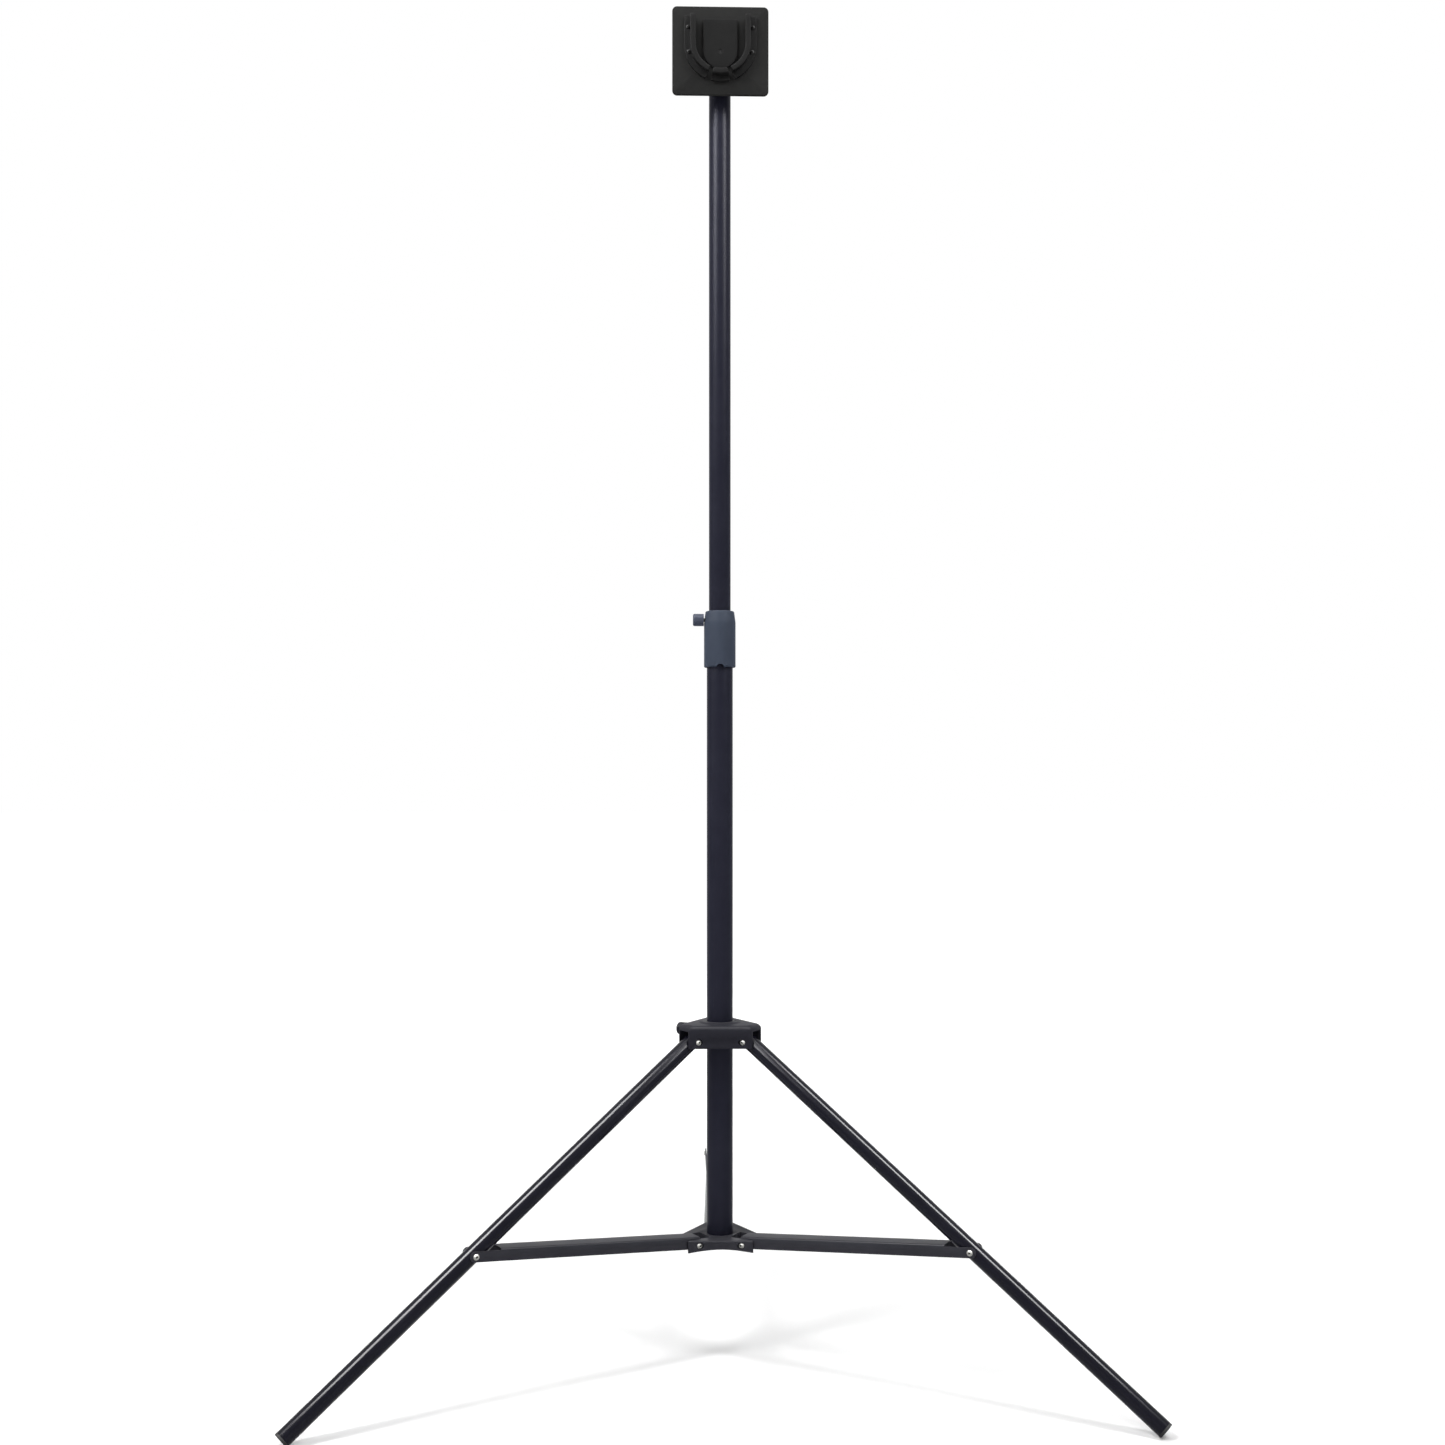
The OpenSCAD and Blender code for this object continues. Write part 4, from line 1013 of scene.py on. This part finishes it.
def floor():
    """A pale floor that keeps the stand's shadow, and whose glow grows with distance to the world's white."""
    half = 30.0
    mesh = bpy.data.meshes.new("floor")
    corners = [(-half, -half, 0), (half, -half, 0), (half, half, 0), (-half, half, 0)]
    mesh.from_pydata(corners, [], [(0, 1, 2, 3)])
    thing = bpy.data.objects.new("floor", mesh)
    bpy.context.scene.collection.objects.link(thing)
    material = bpy.data.materials.new("floor")
    material.use_nodes = True
    tree = material.node_tree
    shader = tree.nodes["Principled BSDF"]
    shader.inputs["Base Color"].default_value = (0.8, 0.8, 0.8, 1.0)
    shader.inputs["Roughness"].default_value = 1.0
    shader.inputs["Specular IOR Level"].default_value = 0.0
    glow = tree.nodes.new("ShaderNodeEmission")
    glow.inputs["Color"].default_value = (1.0, 1.0, 1.0, 1.0)
    seen = tree.nodes.new("ShaderNodeLightPath")
    shown = sum_up(tree, "MAXIMUM", seen.outputs["Is Camera Ray"], seen.outputs["Is Glossy Ray"])
    away = tree.nodes.new("ShaderNodeVectorMath")
    away.operation = "LENGTH"
    tree.links.new(tree.nodes.new("ShaderNodeTexCoord").outputs["Object"], away.inputs[0])
    level = ramp(tree, away.outputs["Value"], FLOOR_NEAR[0], FLOOR_FAR[0], FLOOR_NEAR[1], FLOOR_FAR[1])
    tree.links.new(sum_up(tree, "MULTIPLY", shown, level), glow.inputs["Strength"])
    both = tree.nodes.new("ShaderNodeAddShader")
    tree.links.new(shader.outputs[0], both.inputs[0])
    tree.links.new(glow.outputs[0], both.inputs[1])
    tree.links.new(both.outputs[0], tree.nodes["Material Output"].inputs["Surface"])
    mesh.materials.append(material)


def world():
    """White where it is seen, reflected or seen through, and a soft grey light elsewhere."""
    scene_world = bpy.data.worlds.new("studio")
    bpy.context.scene.world = scene_world
    scene_world.use_nodes = True
    tree = scene_world.node_tree
    light = tree.nodes["Background"]
    light.inputs["Color"].default_value = (1.0, 1.0, 1.0, 1.0)
    seen = tree.nodes.new("ShaderNodeLightPath")
    shown = sum_up(tree, "MAXIMUM", seen.outputs["Is Camera Ray"], seen.outputs["Is Glossy Ray"])
    shown = sum_up(tree, "MAXIMUM", shown, seen.outputs["Is Transmission Ray"])
    tree.links.new(ramp(tree, shown, 0.0, 1.0, 0.35, 1.0), light.inputs["Strength"])


def lamp(name, where, aim, size, power, lights=True, shines=True):
    """A flat lamp. It lights surfaces, shows in their gloss, or does both."""
    data = bpy.data.lights.new(name, "AREA")
    data.shape = "RECTANGLE"
    data.size, data.size_y = size
    data.energy = power
    thing = bpy.data.objects.new(name, data)
    thing.location = where
    thing.rotation_euler = (Vector(aim) - Vector(where)).to_track_quat("-Z", "Y").to_euler()
    bpy.context.scene.collection.objects.link(thing)
    thing.visible_diffuse = lights
    thing.visible_glossy = shines


def lights():
    """On each side a key lamp, a strip that only shines and a rear lamp that only lights, and a side lamp."""
    for side, name, power, width, shine in ((-1, "left", 60.0, 1.5, 560.0), (1, "right", 48.0, 1.1, 400.0)):
        aim = (side * 0.2, -0.25, 0.2)
        lamp(name, (side * 1.46, -1.17, 3.0), aim, (0.5, 1.2), power)
        lamp(name + " strip", (side * 1.56, -1.25, 3.05), aim, (width, 2.6), shine, lights=False)
        lamp(name + " rear", (side * 0.7, 2.6, 2.3), (0.0, 0.0, 0.8), (1.2, 1.6), 24.0, shines=False)
    lamp("side", (-2.2, -0.8, 1.7), (0.0, -0.1, 1.0), (0.6, 1.8), 12.0)


def camera():
    """A level camera: the horizon and the mast are set by shift, as rows and columns of the picture."""
    data = bpy.data.cameras.new("view")
    data.sensor_width = SENSOR
    data.lens = FOCAL_PIXELS / PICTURE * SENSOR
    data.shift_x = (PICTURE / 2 - MAST_COLUMN) / PICTURE
    data.shift_y = (HORIZON_ROW - PICTURE / 2) / PICTURE
    data.clip_start = 0.05
    thing = bpy.data.objects.new("view", data)
    thing.location = (MAST[0] - CAMERA_AWAY * math.sin(CAMERA_TURN),
                      MAST[1] - CAMERA_AWAY * math.cos(CAMERA_TURN), CAMERA_HEIGHT)
    thing.rotation_euler = (math.pi / 2, 0.0, -CAMERA_TURN)
    bpy.context.scene.collection.objects.link(thing)
    bpy.context.scene.camera = thing


mast_tubes()
leg_tubes()
feet()
collar()
knob("collar_knob", "collar_clamp_knob", "knob_plastic", COLLAR_SCREW_TURN, 0.0)
knob("hub_knob", "hub_clamp_knob", "hub_plastic", HUB_SCREW_TURN, HUB_KNOB_NECK)
stud("collar_stud", "collar_clamp_knob", COLLAR_SCREW_TURN)
stud("hub_stud", "hub_clamp_knob", HUB_SCREW_TURN)
head_plate()
track()
centre_pad()
track_screws()
pins("leg_pins", "leg_hub", [f"leg_{i}_fold" for i in LEGS])
pins("brace_pins", "base", [f"brace_{i}_fold" for i in LEGS])
brace_rivets()
hub_rivet()
castings()
braces()
plain_nodes()
floor()
world()
lights()
camera()
bpy.context.scene.view_settings.view_transform = "Standard"
